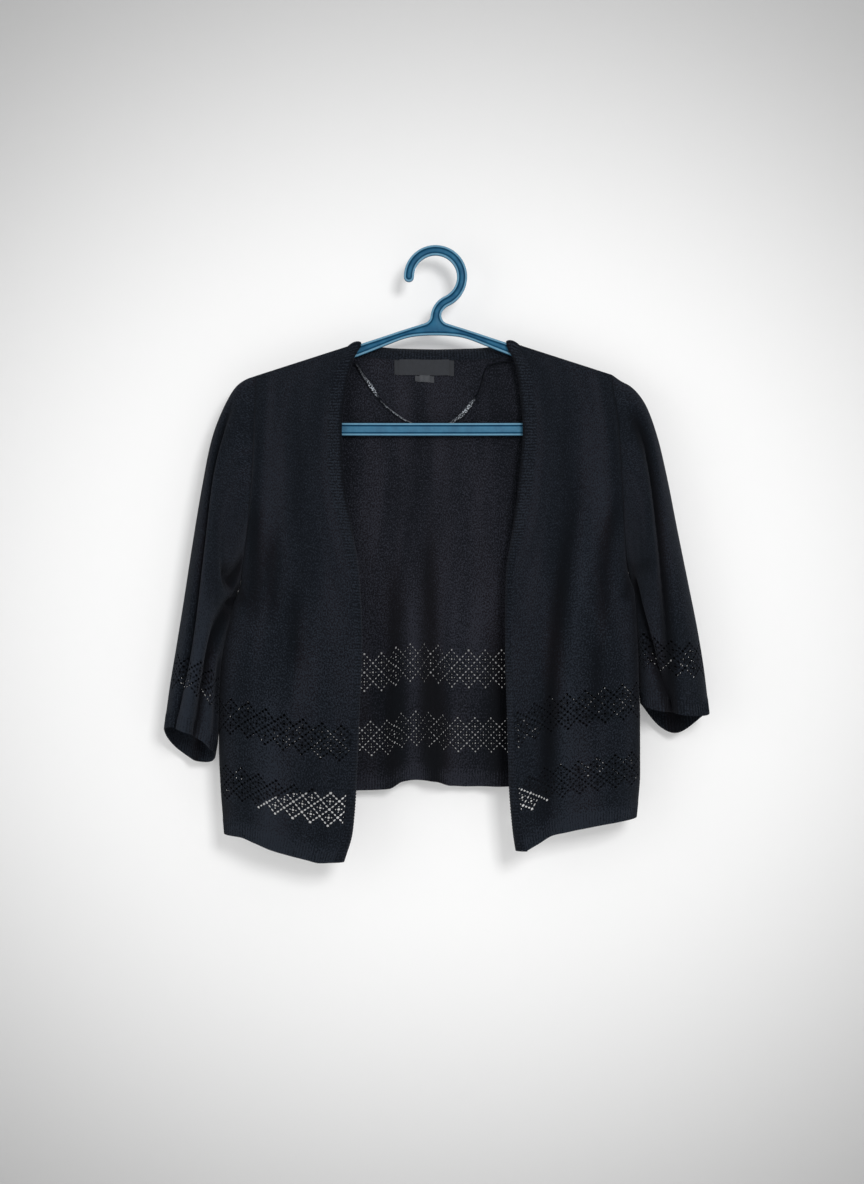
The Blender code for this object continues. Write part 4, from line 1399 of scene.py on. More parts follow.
@dataclass(frozen=True)
class SleeveFold:
    """A fold along a sleeve. The turn goes round from the overarm (0) over the front (0.25)."""

    start: float
    end: float
    turn_start: float
    turn_mid: float
    turn_end: float
    width: float
    depth: float
    fade: float = 0.12

    def sink(self, along: Array, turn: Array) -> Array:
        """Depth of the fold: a bell round the sleeve about a bowed line, faded at both ends.

        Args:
            along: Shares along the sleeve.
            turn: Turns round it.

        Returns:
            How far the cloth sinks.
        """
        t = (along - self.start) / (self.end - self.start)
        line = bowed(t, self.turn_start, self.turn_mid, self.turn_end)
        ends = ease((along - self.start) / self.fade) * ease((self.end - along) / self.fade)
        return self.depth * MM * ends * np.exp(-(((turn - line) / self.width) ** 2))


SLEEVE_SHARES = (0, 0.06, 0.12, 0.20, 0.30, 0.42, 0.55, 0.68, 0.80, 0.90, 1)


@dataclass
class Sleeve:
    """One sleeve: an ellipse carried from the armhole to the cuff between two lines.

    The lines are the overarm's x and z and the underarm's x and z, in mm, at SLEEVE_SHARES.
    """

    name: str
    node: str
    side: Side
    lines: tuple[tuple[float, ...], ...]
    cuff_lift: float
    cuff_drop: float
    cuff_drop_power: float
    folds: tuple[tuple[float, ...], ...]
    phase: int
    half_depth: tuple[float, ...] = (14, 17, 20, 23, 26, 28, 29, 29, 28, 27, 26)
    lace_above_cuff: tuple[float, float] = (41, 80)
    plain_below: float = 3.2
    plain_above: float = 3.4
    repeats: int = 11
    # Painted light near the cuff
    cuff_glow: float = 0.0
    cuff_fade: float = 0.62
    blend: float = 0.25
    underarm_shade: float = 1.3
    underarm_width: float = 0.06
    shade_depth: float = 7.5 * MM
    flat: tuple[float, float] = (0.40, 0.36)
    area: float = 0.068

    def tube(self, along: Array, turn: Array) -> Array:
        """Points on the bare tube: centre plus cosine towards the overarm, sine to the front.

        Args:
            along: Shares along the sleeve.
            turn: Turns round it.

        Returns:
            Points with the cuff's slant and lobes.
        """
        along, turn = np.broadcast_arrays(along, turn)
        over_x, over_z, under_x, under_z, depth = (
            Curve(SLEEVE_SHARES, row)(along) for row in (*self.lines, self.half_depth)
        )
        sine, cosine = np.sin(TAU * turn), np.cos(TAU * turn)
        x = (over_x + under_x) / 2 + (over_x - under_x) / 2 * cosine
        z = (over_z + under_z) / 2 + (over_z - under_z) / 2 * cosine
        fade = ease((along - self.cuff_fade) / (1 - self.cuff_fade))
        drop = self.cuff_drop * MM * np.abs(sine) ** self.cuff_drop_power
        z = z + fade * np.where(sine > 0, self.cuff_lift * MM * sine, -drop)
        return np.stack([self.side.sign * x, -depth * sine, z], axis=-1)

    def armhole(self, front: Front, back: Back, columns: int) -> tuple[Array, Array]:
        """The armhole at equal turns, from the shoulder tip down the front and up the back.

        Args:
            front: The front on this side.
            back: The back.
            columns: How many points.

        Returns:
            Points just outside the panels' edges, and the panels' normals there.
        """
        index = 0 if self.side is Side.RIGHT else -1
        down = slice(front.armpit_row, None), -1
        up = slice(back.armpit_row, None), index
        places = np.concatenate([front.points[down][::-1], back.points[up][1:]])
        normals = np.concatenate([front.normals[down][::-1], back.normals[up][1:]])
        half = len(front.points[down]) - 1
        places[[0, half, -1], 1] = 0
        length = running_length(places)
        turn = np.where(
            np.arange(len(length)) <= half,
            length / length[half] * 0.5,
            0.5 + (length - length[half]) / (length[-1] - length[half]) * 0.5,
        )
        even = np.arange(columns) / columns
        loop = np.stack([np.interp(even, turn, places[:, k]) for k in range(3)], axis=-1)
        square = np.stack([np.interp(even, turn, normals[:, k]) for k in range(3)], axis=-1)
        return loop + np.array([self.side.sign * BODY.seam_gap, 0, 0]), unit(square)

    def build(self, front: Front, back: Back) -> None:
        """Knit the sleeve from its armhole to its open cuff.

        Args:
            front: The front on this side.
            back: The back.
        """
        columns = 2 * CHART.repeat * self.repeats
        turn = (np.arange(columns) / columns)[None, :]
        shares = np.linspace(0, 1, 401)
        reach = running_length(self.tube(shares[:, None], turn)[::-1])
        low, high = self.lace_above_cuff
        steps = round((low - RIB_ROWS[-1]) / self.plain_below)
        heights = [*RIB_ROWS, *np.linspace(RIB_ROWS[-1], low, steps + 1)[1:-1]]
        lace_row = len(heights)
        height = np.array([*heights, *np.linspace(low, high, 2 * CHART.rows + 1)]) * MM
        lower = np.stack([np.interp(height, reach[:, k], 1 - shares) for k in range(columns)], axis=1)
        count = round(float(reach[-1].mean() / MM - high) / self.plain_above)
        along = np.concatenate([lower, lower[-1] * np.linspace(1, 0, count + 1)[1:, None]])
        loop, loop_normals = self.armhole(front, back, columns)
        rest_of_loop = loop - self.tube(np.zeros(columns), turn[0])
        points = self.tube(along, turn) + rest_of_loop * (1 - ease(along / self.blend))[..., None]
        sink = sum(SleeveFold(*row).sink(along, turn) for row in self.folds)
        outward = -self.side.sign * grid_normals(points, wrap=True)
        points = points - outward * (sink * ease(along / self.blend))[..., None]
        normals = -self.side.sign * grid_normals(points, wrap=True)
        normals[-1] = loop_normals
        comb = rib_comb(*along.shape)
        relief = RIB_HEIGHT * comb[..., None] * normals
        around = np.linalg.norm(np.roll(points, -1, axis=1) - points, axis=-1).sum(axis=1)
        # Painted shade under the arm, in the folds, along the armhole seam and in the rib valleys; painted light
        # on the ribs and near the cuff
        underarm = self.underarm_shade * np.exp(-(((turn - 0.5) / self.underarm_width) ** 2))
        crease_shade = sink / self.shade_depth * ease(along / 0.08)
        cuff_glow = self.cuff_glow * ease((along - 0.55) / 0.3)
        cloth = Cloth(
            self.name,
            points + relief,
            points - BODY.wall * normals + relief,
            np.broadcast_to((turn + 0.5) % 1 - 0.5, along.shape),
            running_length(points),
            np.ones(len(along), bool),
            CHART.at_rows({lace_row: self.phase}, columns // 2),
            wrap=True,
            width=around,
            shade=crease_shade + underarm * ease(along / 0.2) + seam_shade(along) - 0.5 * comb - cuff_glow,
        )
        log.info("%s: cuff %.0f mm, top %.0f mm round", self.name, around[10] / MM, around[-1] / MM)
        piece = add_piece(cloth.mesh(), KNIT, self.node)


@dataclass
class NeckBand:
    """The rib strip sewn on from the right hem over the neck to the left hem."""

    name: str = "neck_band_rib"
    node: str = "neck_band"
    rib_pitch: float = 3.3 * MM
    rib_height: float = 0.55 * MM
    stations_per_rib: int = 4
    width_steps: int = 7
    tuck: tuple[float, float] = (1.8 * MM, 1.15 * MM)
    crown: float = 2 * MM
    crown_fade: float = 16 * MM
    lean_fade: float = 15 * MM
    flat: tuple[float, float] = (0.015, 1.36)

    def route(self, fronts: dict[Side, Front], back: Back) -> tuple[Array, Array, Array, Array]:
        """The seam line, the panels' normals on it, the way to the free edge, and the roll.

        Args:
            fronts: Both fronts.
            back: The back.

        Returns:
            Points, normals, directions and roll angles, from the right hem to the left one.
        """
        slope = math.atan(BODY.shoulder_slope)
        parts: list[tuple[Array, Array, Array, Array]] = []

        def add(places: Array, normals: Array, lean: Array, sign: Array | int, roll: Array) -> None:
            """Add a stretch of seam whose band leans up by an angle on one side of it."""
            way = np.stack([sign * np.cos(lean), np.zeros(len(places)), np.sin(lean)], axis=-1)
            parts.append((places, normals, way, roll))

        def add_front(side: Side, order: slice) -> None:
            """Add a front's seam, where the lean grows to the shoulder's slope near the top.

            Args:
                side: The front's side.
                order: The rows, upwards or downwards.
            """
            places, normals = fronts[side].points[order, 0], fronts[side].normals[order, 0]
            drop = BODY.shoulder(places[:, 0]) - places[:, 2]
            lean = slope * (1 - ease((drop - BODY.roll) / self.lean_fade))
            add(places, normals, lean, -side.sign, BODY.edge_roll(places[:, 2]))

        first, last = back.neck_columns
        row = back.foot_row
        add_front(Side.RIGHT, slice(None, None, 1))
        places, normals = back.points[:row:-1, first], back.normals[:row:-1, first]
        add(places, normals, np.full(len(places), slope), 1, np.zeros(len(places)))
        places, normals = back.points[row, first : last + 1], back.normals[row, first : last + 1]
        out = np.abs(places[:, 0])
        add(places, normals, BODY.neck_lean(out), np.where(places[:, 0] < 0, 1, -1), BODY.neck_roll(out))
        places, normals = back.points[row + 1 :, last], back.normals[row + 1 :, last]
        add(places, normals, np.full(len(places), slope), -1, np.zeros(len(places)))
        add_front(Side.LEFT, slice(None, None, -1))
        return tuple(np.concatenate([part[k] for part in parts]) for k in range(4))

    def build(self, fronts: dict[Side, Front], back: Back) -> None:
        """Carry the rolled section along the seam, raised by a cosine for each rib.

        Args:
            fronts: Both fronts.
            back: The back.
        """
        points, normals, ways, rolls = self.route(fronts, back)
        reach = running_length(points)
        ribs = round(float(reach[-1]) / self.rib_pitch)
        stations = np.linspace(0, reach[-1], self.stations_per_rib * ribs + 1)

        def at(values: Array) -> Array:
            """Values along the seam, read at the stations."""
            return np.stack([np.interp(stations, reach, values[:, k]) for k in range(3)], axis=-1)

        seam, normal = at(points), unit(at(normals))
        side = at(ways)
        side = unit(side - (side * normal).sum(axis=1, keepdims=True) * normal)
        turn = np.interp(stations, reach, rolls)[None, :, None]
        share = np.linspace(0, 1, self.width_steps + 1)[:, None, None]
        out = share * np.sinc(turn * share / math.pi)
        fall = turn * share**2 / 2 * np.sinc(turn * share / TAU) ** 2
        outer = seam + BODY.seam_gap * side + BODY.band_width * (out * side - fall * normal)
        facing = np.cos(turn * share) * normal + np.sin(turn * share) * side
        wave = 0.5 - 0.5 * np.cos(np.arange(len(stations)) / self.stations_per_rib * TAU)[None, :, None]
        raised = self.rib_height * wave * ease(share * 8) * ease((1 - share) * 8)
        top = ease(1 - (seam[:, 2].max() - seam[:, 2]) / self.crown_fade)
        top = top * ease((np.abs(seam[:, 0]) - 0.8 * BODY.neck_x[Side.LEFT]) / (12 * MM))
        outer[..., 2] += self.crown * top * np.sin(math.pi * share[..., 0] ** 1.1)
        tuck = (seam - self.tuck[0] * side - self.tuck[1] * normal)[None]
        inside = outer - BODY.wall * facing + 0.5 * raised * facing
        grid = np.swapaxes(np.concatenate([tuck, outer + raised * facing]), 0, 1)
        inner = np.swapaxes(np.concatenate([tuck - BODY.wall * normal, inside]), 0, 1)
        across = np.arange(-1, self.width_steps + 1) / self.width_steps * BODY.band_width
        across = np.broadcast_to(across, grid.shape[:2])
        up = np.broadcast_to(stations[:, None], grid.shape[:2])
        # Painted shade along the rolled free edge and in the rib valleys, painted light on the rib crests
        free_edge_shade = np.concatenate([[0], 1.1 * ease((share.ravel() - 0.7) / 0.3)])
        shade = 0.6 - 1.1 * wave[0] + free_edge_shade
        fine = np.ones(len(stations), bool)
        cloth = Cloth(self.name, grid, inner, across, up, fine, shade=shade)
        log.info("%s: %.3f m long", self.name, reach[-1])
        piece = add_piece(cloth.mesh(), RIB, self.node)


@dataclass
class Tab:
    """A bare tab of woven tape sewn inside the back neck, with its ends folded under.

    Left and right are the picture's. They, the top, the height and the fold are in mm.
    """

    name: str
    node: str
    left: float
    right: float
    top: float
    height: float
    fold: float
    finish: WovenFinish
    bulge: float = 0.5 * MM
    wall: float = 0.3 * MM
    depth: float = 6.35 * MM
    columns: int = 48
    rows: int = 12

    def plate(self, x0: float, x1: float, z0: float, z1: float, depth: float, bulge: float) -> list[Array]:
        """One thin plate that swells towards the camera: bulge times (1 - a^4)(1 - b^4).

        Args:
            x0: Its left edge in the picture.
            x1: Its right edge in the picture.
            z0: Its lower edge.
            z1: Its upper edge.
            depth: Distance of its rear face from the hanger's plane.
            bulge: How far its middle swells.

        Returns:
            The outer grid and the inner one.
        """
        a = np.linspace(-1, 1, self.columns + 1)[None, :]
        b = np.linspace(-1, 1, self.rows + 1)[:, None]
        swell = bulge * (1 - a**4) * (1 - b**4)
        x = (x0 + x1) / 2 + (x1 - x0) / 2 * a + 0 * b
        z = (z0 + z1) / 2 + (z1 - z0) / 2 * b + 0.25 * MM * np.sin(a * 3.1 + z0 * 900)
        rear = np.stack(np.broadcast_arrays(x, depth - swell, z), axis=-1)
        return [rear - np.array([0, self.wall, 0]), rear]

    def build(self) -> None:
        """Make the face of the tab and the folded ends behind it as one mesh."""
        left, right, top = self.left * MM, self.right * MM, self.top * MM
        low, fold = top - self.height * MM, self.fold * MM
        turned_in = fold * 0.8
        plates = [
            self.plate(left + turned_in, right - turned_in, low, top, self.depth - 0.35 * MM, self.bulge),
            self.plate(left, left + fold, low + 0.6 * MM, top - 0.5 * MM, self.depth, 0),
            self.plate(right - fold, right, low - 0.6 * MM, top - 0.9 * MM, self.depth, 0),
        ]
        meshes = []
        for number, (outer, inner) in enumerate(plates):
            across, up = outer[..., 0], outer[..., 2]
            fine = np.ones(self.rows + 1, bool)
            # Painted shade on the folded ends behind the face
            shade = np.full(across.shape, 0.3 if number else 0.0)
            cloth = Cloth(f"{self.name}_{number}", outer, inner, across, up, fine, shade=shade)
            meshes.append(cloth.mesh())
        joined = join_meshes(self.name, meshes)
        add_piece(joined, self.finish, self.node)


def join_meshes(name: str, meshes: list[bpy.types.Mesh]) -> bpy.types.Mesh:
    """Several closed meshes as one, with their UV maps.

    Args:
        name: The new mesh's name.
        meshes: The meshes, which are removed.

    Returns:
        The mesh.
    """
    objects = [bpy.data.objects.new(mesh.name, mesh) for mesh in meshes]
    for made in objects:
        bpy.context.scene.collection.objects.link(made)
    with bpy.context.temp_override(
        active_object=objects[0], object=objects[0], selected_editable_objects=objects,
        selected_objects=objects,
    ):
        bpy.ops.object.join()
    joined = objects[0].data
    bpy.data.objects.remove(objects[0], do_unlink=True)
    joined.name = name
    return joined


@dataclass
class HangingRibbon:
    """A narrow satin tape sewn in at both shoulders, hanging down behind the hanger's bar."""

    name: str = "hanging_ribbon_tape"
    node: str = "hanging_ribbon"
    width: float = 4.5 * MM
    thick: float = 0.5 * MM
    step: float = 0.8 * MM
    across_steps: int = 6
    route: tuple[tuple[float, float, float], ...] = (
        (-87.5, 2.8, -114.5), (-84, 3.1, -119), (-79.4, 3.7, -126.9), (-73, 4.3, -136),
        (-67.5, 4.7, -144.2), (-57.8, 4.8, -158), (-41.6, 4.8, -171.5), (-27.5, 4.8, -179.8),
        (-10, 4.8, -185), (8, 4.8, -183.5), (22, 4.8, -177), (31, 4.8, -169), (38.3, 4.8, -160),
        (45.5, 4.8, -149), (49.5, 4.8, -138), (52.5, 4.7, -127), (57, 4.3, -118.5),
        (66, 3.6, -115.2), (76, 2.9, -113.8), (84, 2.7, -114.8),
    )
    twist: Curve = Curve(
        (0, 0.07, 0.115, 0.15, 0.20, 0.30, 0.40, 0.52, 0.58, 0.63, 0.68, 0.73, 0.80, 1),
        (74, 68, 40, 34, 76, 72, 72, 66, 50, 34, 30, 72, 76, 74),
        value_unit=math.radians(1),
    )
    # Painted glints along the tape: how much of the satin's light colour shows
    glint: Curve = Curve(
        (0, 0.04, 0.09, 0.13, 0.17, 0.20, 0.24, 0.36, 0.42, 0.56, 0.62, 0.66, 0.70, 0.73, 0.78, 1),
        (0.0, 0.3, 0.45, 0.9, 0.8, 0.0, 0.7, 0.8, 0.5, 0.5, 0.7, 0.9, 0.8, 0.0, 0.0, 0.0),
        value_unit=1,
    )

    def centre(self) -> Array:
        """The tape's centreline: the route's points joined by monotone cubics, evenly spaced."""
        knots = np.array(self.route) * MM
        length = tuple(running_length(knots))
        count = int(length[-1] / self.step) + 1
        at = np.linspace(0, length[-1], count)
        return np.stack([Curve(length, tuple(knots[:, k]), 1, 1)(at) for k in range(3)], axis=1)

    def build(self) -> None:
        """Carry a flat section along the centreline, turned about it by the twist."""
        centre = self.centre()
        length = running_length(centre)
        tangent = unit(np.gradient(centre, axis=0))
        away = np.array([0, 1, 0])
        flat = unit(np.cross(tangent, away))
        face = unit(np.cross(flat, tangent))
        angle = self.twist(length / length[-1])[:, None]
        wide = np.cos(angle) * flat + np.sin(angle) * face
        thin = unit(np.cross(wide, tangent))
        share = np.linspace(-1, 1, self.across_steps + 1)
        grid = centre[:, None] + wide[:, None] * (share * self.width / 2)[None, :, None]
        half = thin[:, None] * self.thick / 2
        across = np.broadcast_to(share * self.width / 2, grid.shape[:2])
        up = np.broadcast_to(length[:, None], grid.shape[:2])
        # The painted glints go in the mesh's shade attribute
        shade = np.broadcast_to(self.glint(length / length[-1])[:, None], grid.shape[:2])
        fine = np.ones(len(grid), bool)
        cloth = Cloth(self.name, grid + half, grid - half, across, up, fine, shade=shade)
        piece = add_piece(cloth.mesh(), SATIN, self.node)
        log.info("%s: %.3f m long", self.name, length[-1])


def arc(centre: Array | tuple[float, float], radius: float, start: float, end: float, count: int) -> Array:
    """Points on an arc, angles in degrees from +X towards +Z, both ends included."""
    angles = np.radians(np.linspace(start, end, count))
    return np.stack([centre[0] + radius * np.cos(angles), centre[1] + radius * np.sin(angles)], axis=1)


@dataclass
class Hanger:
    """The moulded hanger: rounded rims on both faces round a channel with a raised floor."""

    name: str = "hanger_moulding"
    node: str = "hanger"
    thick: float = 6 * MM
    hook_inner: float = 23.2 * MM
    hook_width: float = 11 * MM
    hook_end: float = -65
    stem_turn: float = 21 * MM
    stem_fillet: float = 9 * MM
    hook_steps: int = 90
    turn_steps: int = 24
    fillet_steps: int = 14
    tip_steps: int = 16
    corner_rounds: int = 2
    arm_outside: tuple[tuple[float, float], ...] = (
        (22, -76.6), (38, -81.6), (70, -92.35), (182, -128.41), (187, -131.2), (190, -135.8),
        (190.4, -141), (189, -148), (182, -166), (172, -184), (167.5, -190), (162, -193.5), (156, -194.7),
    )
    arm_inside: tuple[tuple[float, float], ...] = (
        (0, -86.2), (14, -86.5), (27.5, -88), (38.3, -91.2), (49, -95.4), (70.7, -104.2), (90, -111.3),
        (170, -138.6), (174, -141.4), (175, -146), (171, -157), (161, -175), (157, -179.3), (151, -181.1),
    )
    # The section from the edge of the plate inwards, in mm: inset, depth below the face, and how
    # pale it is on the hook and arms, and on the bar, as painted highlight and rubbed wear above 0
    # and painted shade in the groove below 0
    section: tuple[tuple[float, float, float, float], ...] = (
        (0.00, 1.30, -0.3, -0.3), (0.10, 0.75, 0.4, 0.2), (0.38, 0.28, 1.0, 0.9),
        (0.95, 0.05, 1.0, 1.0), (1.65, 0.00, 0.9, 0.9), (2.10, 0.10, 0.6, 0.4),
        (2.40, 0.55, -0.2, -0.6), (2.70, 1.60, -0.8, -1.2), (3.00, 2.00, -0.9, -1.2),
        (3.35, 1.95, -0.6, -0.6), (3.70, 1.55, -0.35, 0.2), (4.05, 1.30, -0.25, 0.4),
        (4.40, 1.22, -0.2, 0.35),
    )
    bar_top: float = -180 * MM

    def smoothed(self, points: Array) -> Array:
        """A closed outline with its bends rounded off: each round cuts a quarter off every side's ends.

        Args:
            points: The outline's corners.

        Returns:
            The finer outline.
        """
        for _ in range(self.corner_rounds):
            after = np.roll(points, -1, axis=0)
            points = np.stack([points * 0.75 + after * 0.25, points * 0.25 + after * 0.75], axis=1)
            points = points.reshape(-1, 2)
        return points

    def fillet(self, turn: tuple[float, float], reach: float, side: int) -> tuple[Array, float, float]:
        """Place of the fillet that touches both the stem's turn and the top of one arm.

        Its centre stands its reach from the turn's centre and its radius above the arm's line:
        height of the turn's centre above the line + reach * cos(angle - square) = radius.

        Args:
            turn: The turn's centre.
            reach: Distance between the two centres.
            side: 1 for the arm at +X and -1 for the other.

        Returns:
            The centre, its angle seen from the turn, and the angle square to the arm, in degrees.
        """
        ends = np.array(self.arm_outside[:2]) * MM * (side, 1)
        along = unit(ends[1] - ends[0]) * side
        square = math.atan2(along[0], -along[1])
        above = float((np.array(turn) - ends[0]) @ (-along[1], along[0]))
        angle = square + math.acos((self.stem_fillet - above) / reach)
        centre = np.array(turn) + reach * np.array([math.cos(angle), math.sin(angle)])
        return centre, math.degrees(angle), math.degrees(square)

    def outlines(self) -> tuple[Array, Array]:
        """The outside of the hanger, clockwise from the hook's tip, and its opening.

        The hook is an arc that turns into the stem by an arc the other way, and the arms leave
        the stem through small fillets.

        Returns:
            Two closed outlines in x and z.
        """
        hook = (0.0, -self.hook_inner)
        half = self.hook_width / 2
        middle = self.hook_inner + half
        angle = math.radians(self.hook_end)
        turn = (
            hook[0] + (middle + self.stem_turn) * math.cos(angle),
            hook[1] + (middle + self.stem_turn) * math.sin(angle),
        )
        back_angle = 180 + self.hook_end
        right = np.array(self.arm_outside) * MM
        fillet = self.stem_fillet
        right_centre, from_turn, square = self.fillet(turn, self.stem_turn - half - fillet, 1)
        left_centre, to_turn, left_square = self.fillet(turn, self.stem_turn + half + fillet, -1)
        outside = [
            arc(hook, self.hook_inner + self.hook_width, 180, self.hook_end, self.hook_steps),
            arc(turn, self.stem_turn - half, back_angle, from_turn, self.turn_steps)[1:],
            arc(right_centre, fillet, from_turn, square + 180, self.fillet_steps)[1:],
            right,
            right[::-1] * np.array([-1, 1]),
            arc(left_centre, fillet, left_square - 180, to_turn - 180, self.fillet_steps),
            arc(turn, self.stem_turn + half, to_turn, back_angle, self.turn_steps)[1:],
            arc(hook, self.hook_inner, self.hook_end, 180, self.hook_steps)[1:],
            arc((-middle, hook[1]), half, 0, -180, self.tip_steps)[1:-1],
        ]
        inside = np.array(self.arm_inside) * MM
        opening = np.concatenate([inside, inside[:0:-1] * np.array([-1, 1])])
        return self.smoothed(np.concatenate(outside)), self.smoothed(opening)

    def inset(self, outline: Array, distance: float, inwards: float) -> Array:
        """An outline moved towards the plastic by a distance, square to its own line.

        Args:
            outline: The outline.
            distance: How far it moves.
            inwards: 1 or -1, for which side of the line the plastic is on.

        Returns:
            The moved outline.
        """
        before, after = unit(outline - np.roll(outline, 1, 0)), unit(np.roll(outline, -1, 0) - outline)
        way = unit(before + after)
        square = np.stack([way[:, 1], -way[:, 0]], axis=1) * inwards
        widen = 1 / np.maximum(np.sqrt((1 + (before * after).sum(axis=1)) / 2), 0.6)
        return outline + square * (distance * widen)[:, None]

    def build(self) -> None:
        """Loft the section round both outlines on both faces, and close the middle of each face."""
        rings = [(1, row) for row in self.section[::-1]] + [(-1, row) for row in self.section]
        places, rims, faces = [], [], []
        caps: dict[int, list[tuple[int, Array]]] = {1: [], -1: []}
        count = 0
        for outline, inwards in zip(self.outlines(), (1, -1)):
            size = len(outline)
            for facing, (inset, depth, rim, bar_rim) in rings:
                flat = self.inset(outline, inset * MM, inwards)
                y = -facing * (self.thick / 2 - depth * MM)
                places.append(np.stack([flat[:, 0], np.full(size, y), flat[:, 1]], axis=1))
                # Each point's painted highlight and wear, or painted shade, from the section
                rims.append(np.where(outline[:, 1] < self.bar_top, bar_rim, rim))
            k = np.arange(size)
            after = (k + 1) % size
            for low in count + size * np.arange(len(rings) - 1):
                cells = np.stack([low + k, low + after, low + size + after, low + size + k], axis=1)
                faces.append(cells[:, ::inwards])
            caps[1].append((count, places[-len(rings)]))
            count += len(rings) * size
            caps[-1].append((count - size, places[-1]))
        points = np.concatenate(places)
        for facing, edges in caps.items():
            number = np.concatenate([start + np.arange(len(ring)) for start, ring in edges])
            cells = number[np.array(tessellate_polygon([ring.tolist() for _, ring in edges]))]
            a, b, c = (points[cells[:, i]] for i in range(3))
            wrong = np.cross(b - a, c - a)[:, 1] * facing > 0
            cells[wrong] = cells[wrong][:, ::-1]
            faces.append(cells)
        mesh = make_mesh(self.name, points, faces)
        set_attribute(mesh, "rim", np.concatenate(rims))
        add_piece(mesh, PLASTIC, self.node)


# ---------------------------------------------------------------- stage


@dataclass(frozen=True)
class Stage:
    """Camera, soft lights, a pale board close behind and a pale floor.

    A light's numbers are its place, the length of its side and its power in watts.
    """

    camera: tuple[float, float, float] = (-3.8 * MM, -2.0, -363.4 * MM)
    frame_height: float = 1184 * 1.08 * MM
    board_y: float = 40 * MM
    board_size: tuple[float, float] = (1.3, 1.75)
    floor_z: float = -1.12
    floor_half: float = 2.6
    lights: tuple[tuple[str, tuple[float, float, float], float, float], ...] = (
        ("key", (0.85, -2.85, 0.55), 0.75, 56),
        ("fill", (-1.6, -1.4, -0.2), 1.4, 9),
        ("rear", (0.9, 2.6, 0.4), 1.0, 30),
    )
    aim: tuple[float, float, float] = (0, 0, -0.38)
    world: float = 0.62

    def add_camera(self) -> None:
        """The photograph's camera: level, straight on, two metres away."""
        data = bpy.data.cameras.new("camera")
        data.sensor_width = 36
        data.lens = 36 * -self.camera[1] / self.frame_height
        camera = bpy.data.objects.new("camera", data)
        camera.location = self.camera
        camera.rotation_euler = (math.pi / 2, 0, 0)
        bpy.context.scene.collection.objects.link(camera)
        bpy.context.scene.camera = camera

    def add_light(self, name: str, place: tuple[float, float, float], size: float, power: float) -> None:
        """A square soft light that points at the middle of the garment.

        Args:
            name: The light's name.
            place: Where it stands.
            size: Length of its side.
            power: Its power in watts.
        """
        data = bpy.data.lights.new(name, "AREA")
        data.shape, data.size, data.energy = "SQUARE", size, power
        light = bpy.data.objects.new(name, data)
        light.location = place
        light.rotation_euler = (Vector(self.aim) - light.location).to_track_quat("-Z", "Y").to_euler()
        bpy.context.scene.collection.objects.link(light)

    def plane(self, name: str, corners: list[tuple[float, float, float]]) -> bpy.types.Object:
        """One flat stage piece.

        Args:
            name: Its name.
            corners: Its corners in order.

        Returns:
            The scene object.
        """
        mesh = bpy.data.meshes.new(name)
        mesh.from_pydata(corners, [], [(0, 1, 2, 3)])
        made = bpy.data.objects.new(name, mesh)
        bpy.context.scene.collection.objects.link(made)
        made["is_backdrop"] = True
        return made

    def add_board(self) -> None:
        """A pale board that only shows its front, with a painted falloff of light that darkens it towards its
        corners.

        About a fifth of its light is its own, so that it takes a soft, faint shadow of the garment.
        It neither blocks light from the garment nor hides it from behind.
        """
        width, height = self.board_size
        middle, y = self.camera[2] - 0.03, self.board_y
        low, high = middle - height / 2, middle + height / 2
        board = self.plane(
            "board",
            [(-width / 2, y, low), (width / 2, y, low), (width / 2, y, high), (-width / 2, y, high)],
        )
        graph = Graph("pale_board")
        across, _, up = graph.split(graph.object_place())
        # Painted light falloff: darker towards the board's corners
        far = ((across / 0.70) ** 2.0 + ((up + 0.392) / 0.68) ** 2.0) ** 0.5
        tone = far.between(0.36, 1.43)
        grain = graph.noise(graph.object_place(), 60.0, 3.0)
        tone = (tone + grain * 0.01).math("MINIMUM", 1.0)
        graph.finish(
            Base_Color=graph.mix(tone, (0.62, 0.62, 0.62), (0.245, 0.245, 0.245)),
            Emission_Color=graph.mix(tone, (0.80, 0.80, 0.80), (0.31, 0.31, 0.31)),
            Emission_Strength=0.26,
            Roughness=1.0,
            Specular_IOR_Level=0.0,
        )
        behind = graph.add("ShaderNodeNewGeometry", {}, {}, "Backfacing")
        clear = graph.add("ShaderNodeBsdfTransparent", {}, {})
        solid = Value(graph, graph.shader.outputs[0])
        sided = graph.add("ShaderNodeMixShader", {}, {0: behind, 1: solid, 2: clear})
        graph.put(graph.nodes["Material Output"].inputs["Surface"], sided)
        board.data.materials.append(graph.material)
        board.visible_diffuse = False
        board.visible_glossy = False
        board.visible_shadow = False

    def add_floor(self) -> None:
        """A pale floor well below the garment."""
        half, z = self.floor_half, self.floor_z
        floor = self.plane("floor", [(-half, -half, z), (half, -half, z), (half, half, z), (-half, half, z)])
        graph = Graph("pale_floor")
        tone = graph.noise(graph.object_place(), 3.0, 2.0)
        color = graph.mix(tone, (0.70, 0.70, 0.69), (0.76, 0.76, 0.76))
        floor.data.materials.append(graph.finish(Base_Color=color, Roughness=0.9))

    def build(self) -> None:
        """Set up all of it."""
        for light in self.lights:
            self.add_light(*light)
        self.add_board()
        self.add_floor()
        world = bpy.data.worlds.new("studio")
        world.use_nodes = True
        background = world.node_tree.nodes["Background"]
        background.inputs["Color"].default_value = (1, 1, 1, 1)
        background.inputs["Strength"].default_value = self.world
        bpy.context.scene.world = world
        bpy.context.scene.view_settings.view_transform = "Standard"


CHART = LaceChart()
RANDOM = np.random.default_rng(11)
FINISHES = (KNIT, KNIT_BACK, RIB, LABEL, CARE, SATIN, PLASTIC)
MATERIALS = {finish.name: finish.material() for finish in FINISHES}


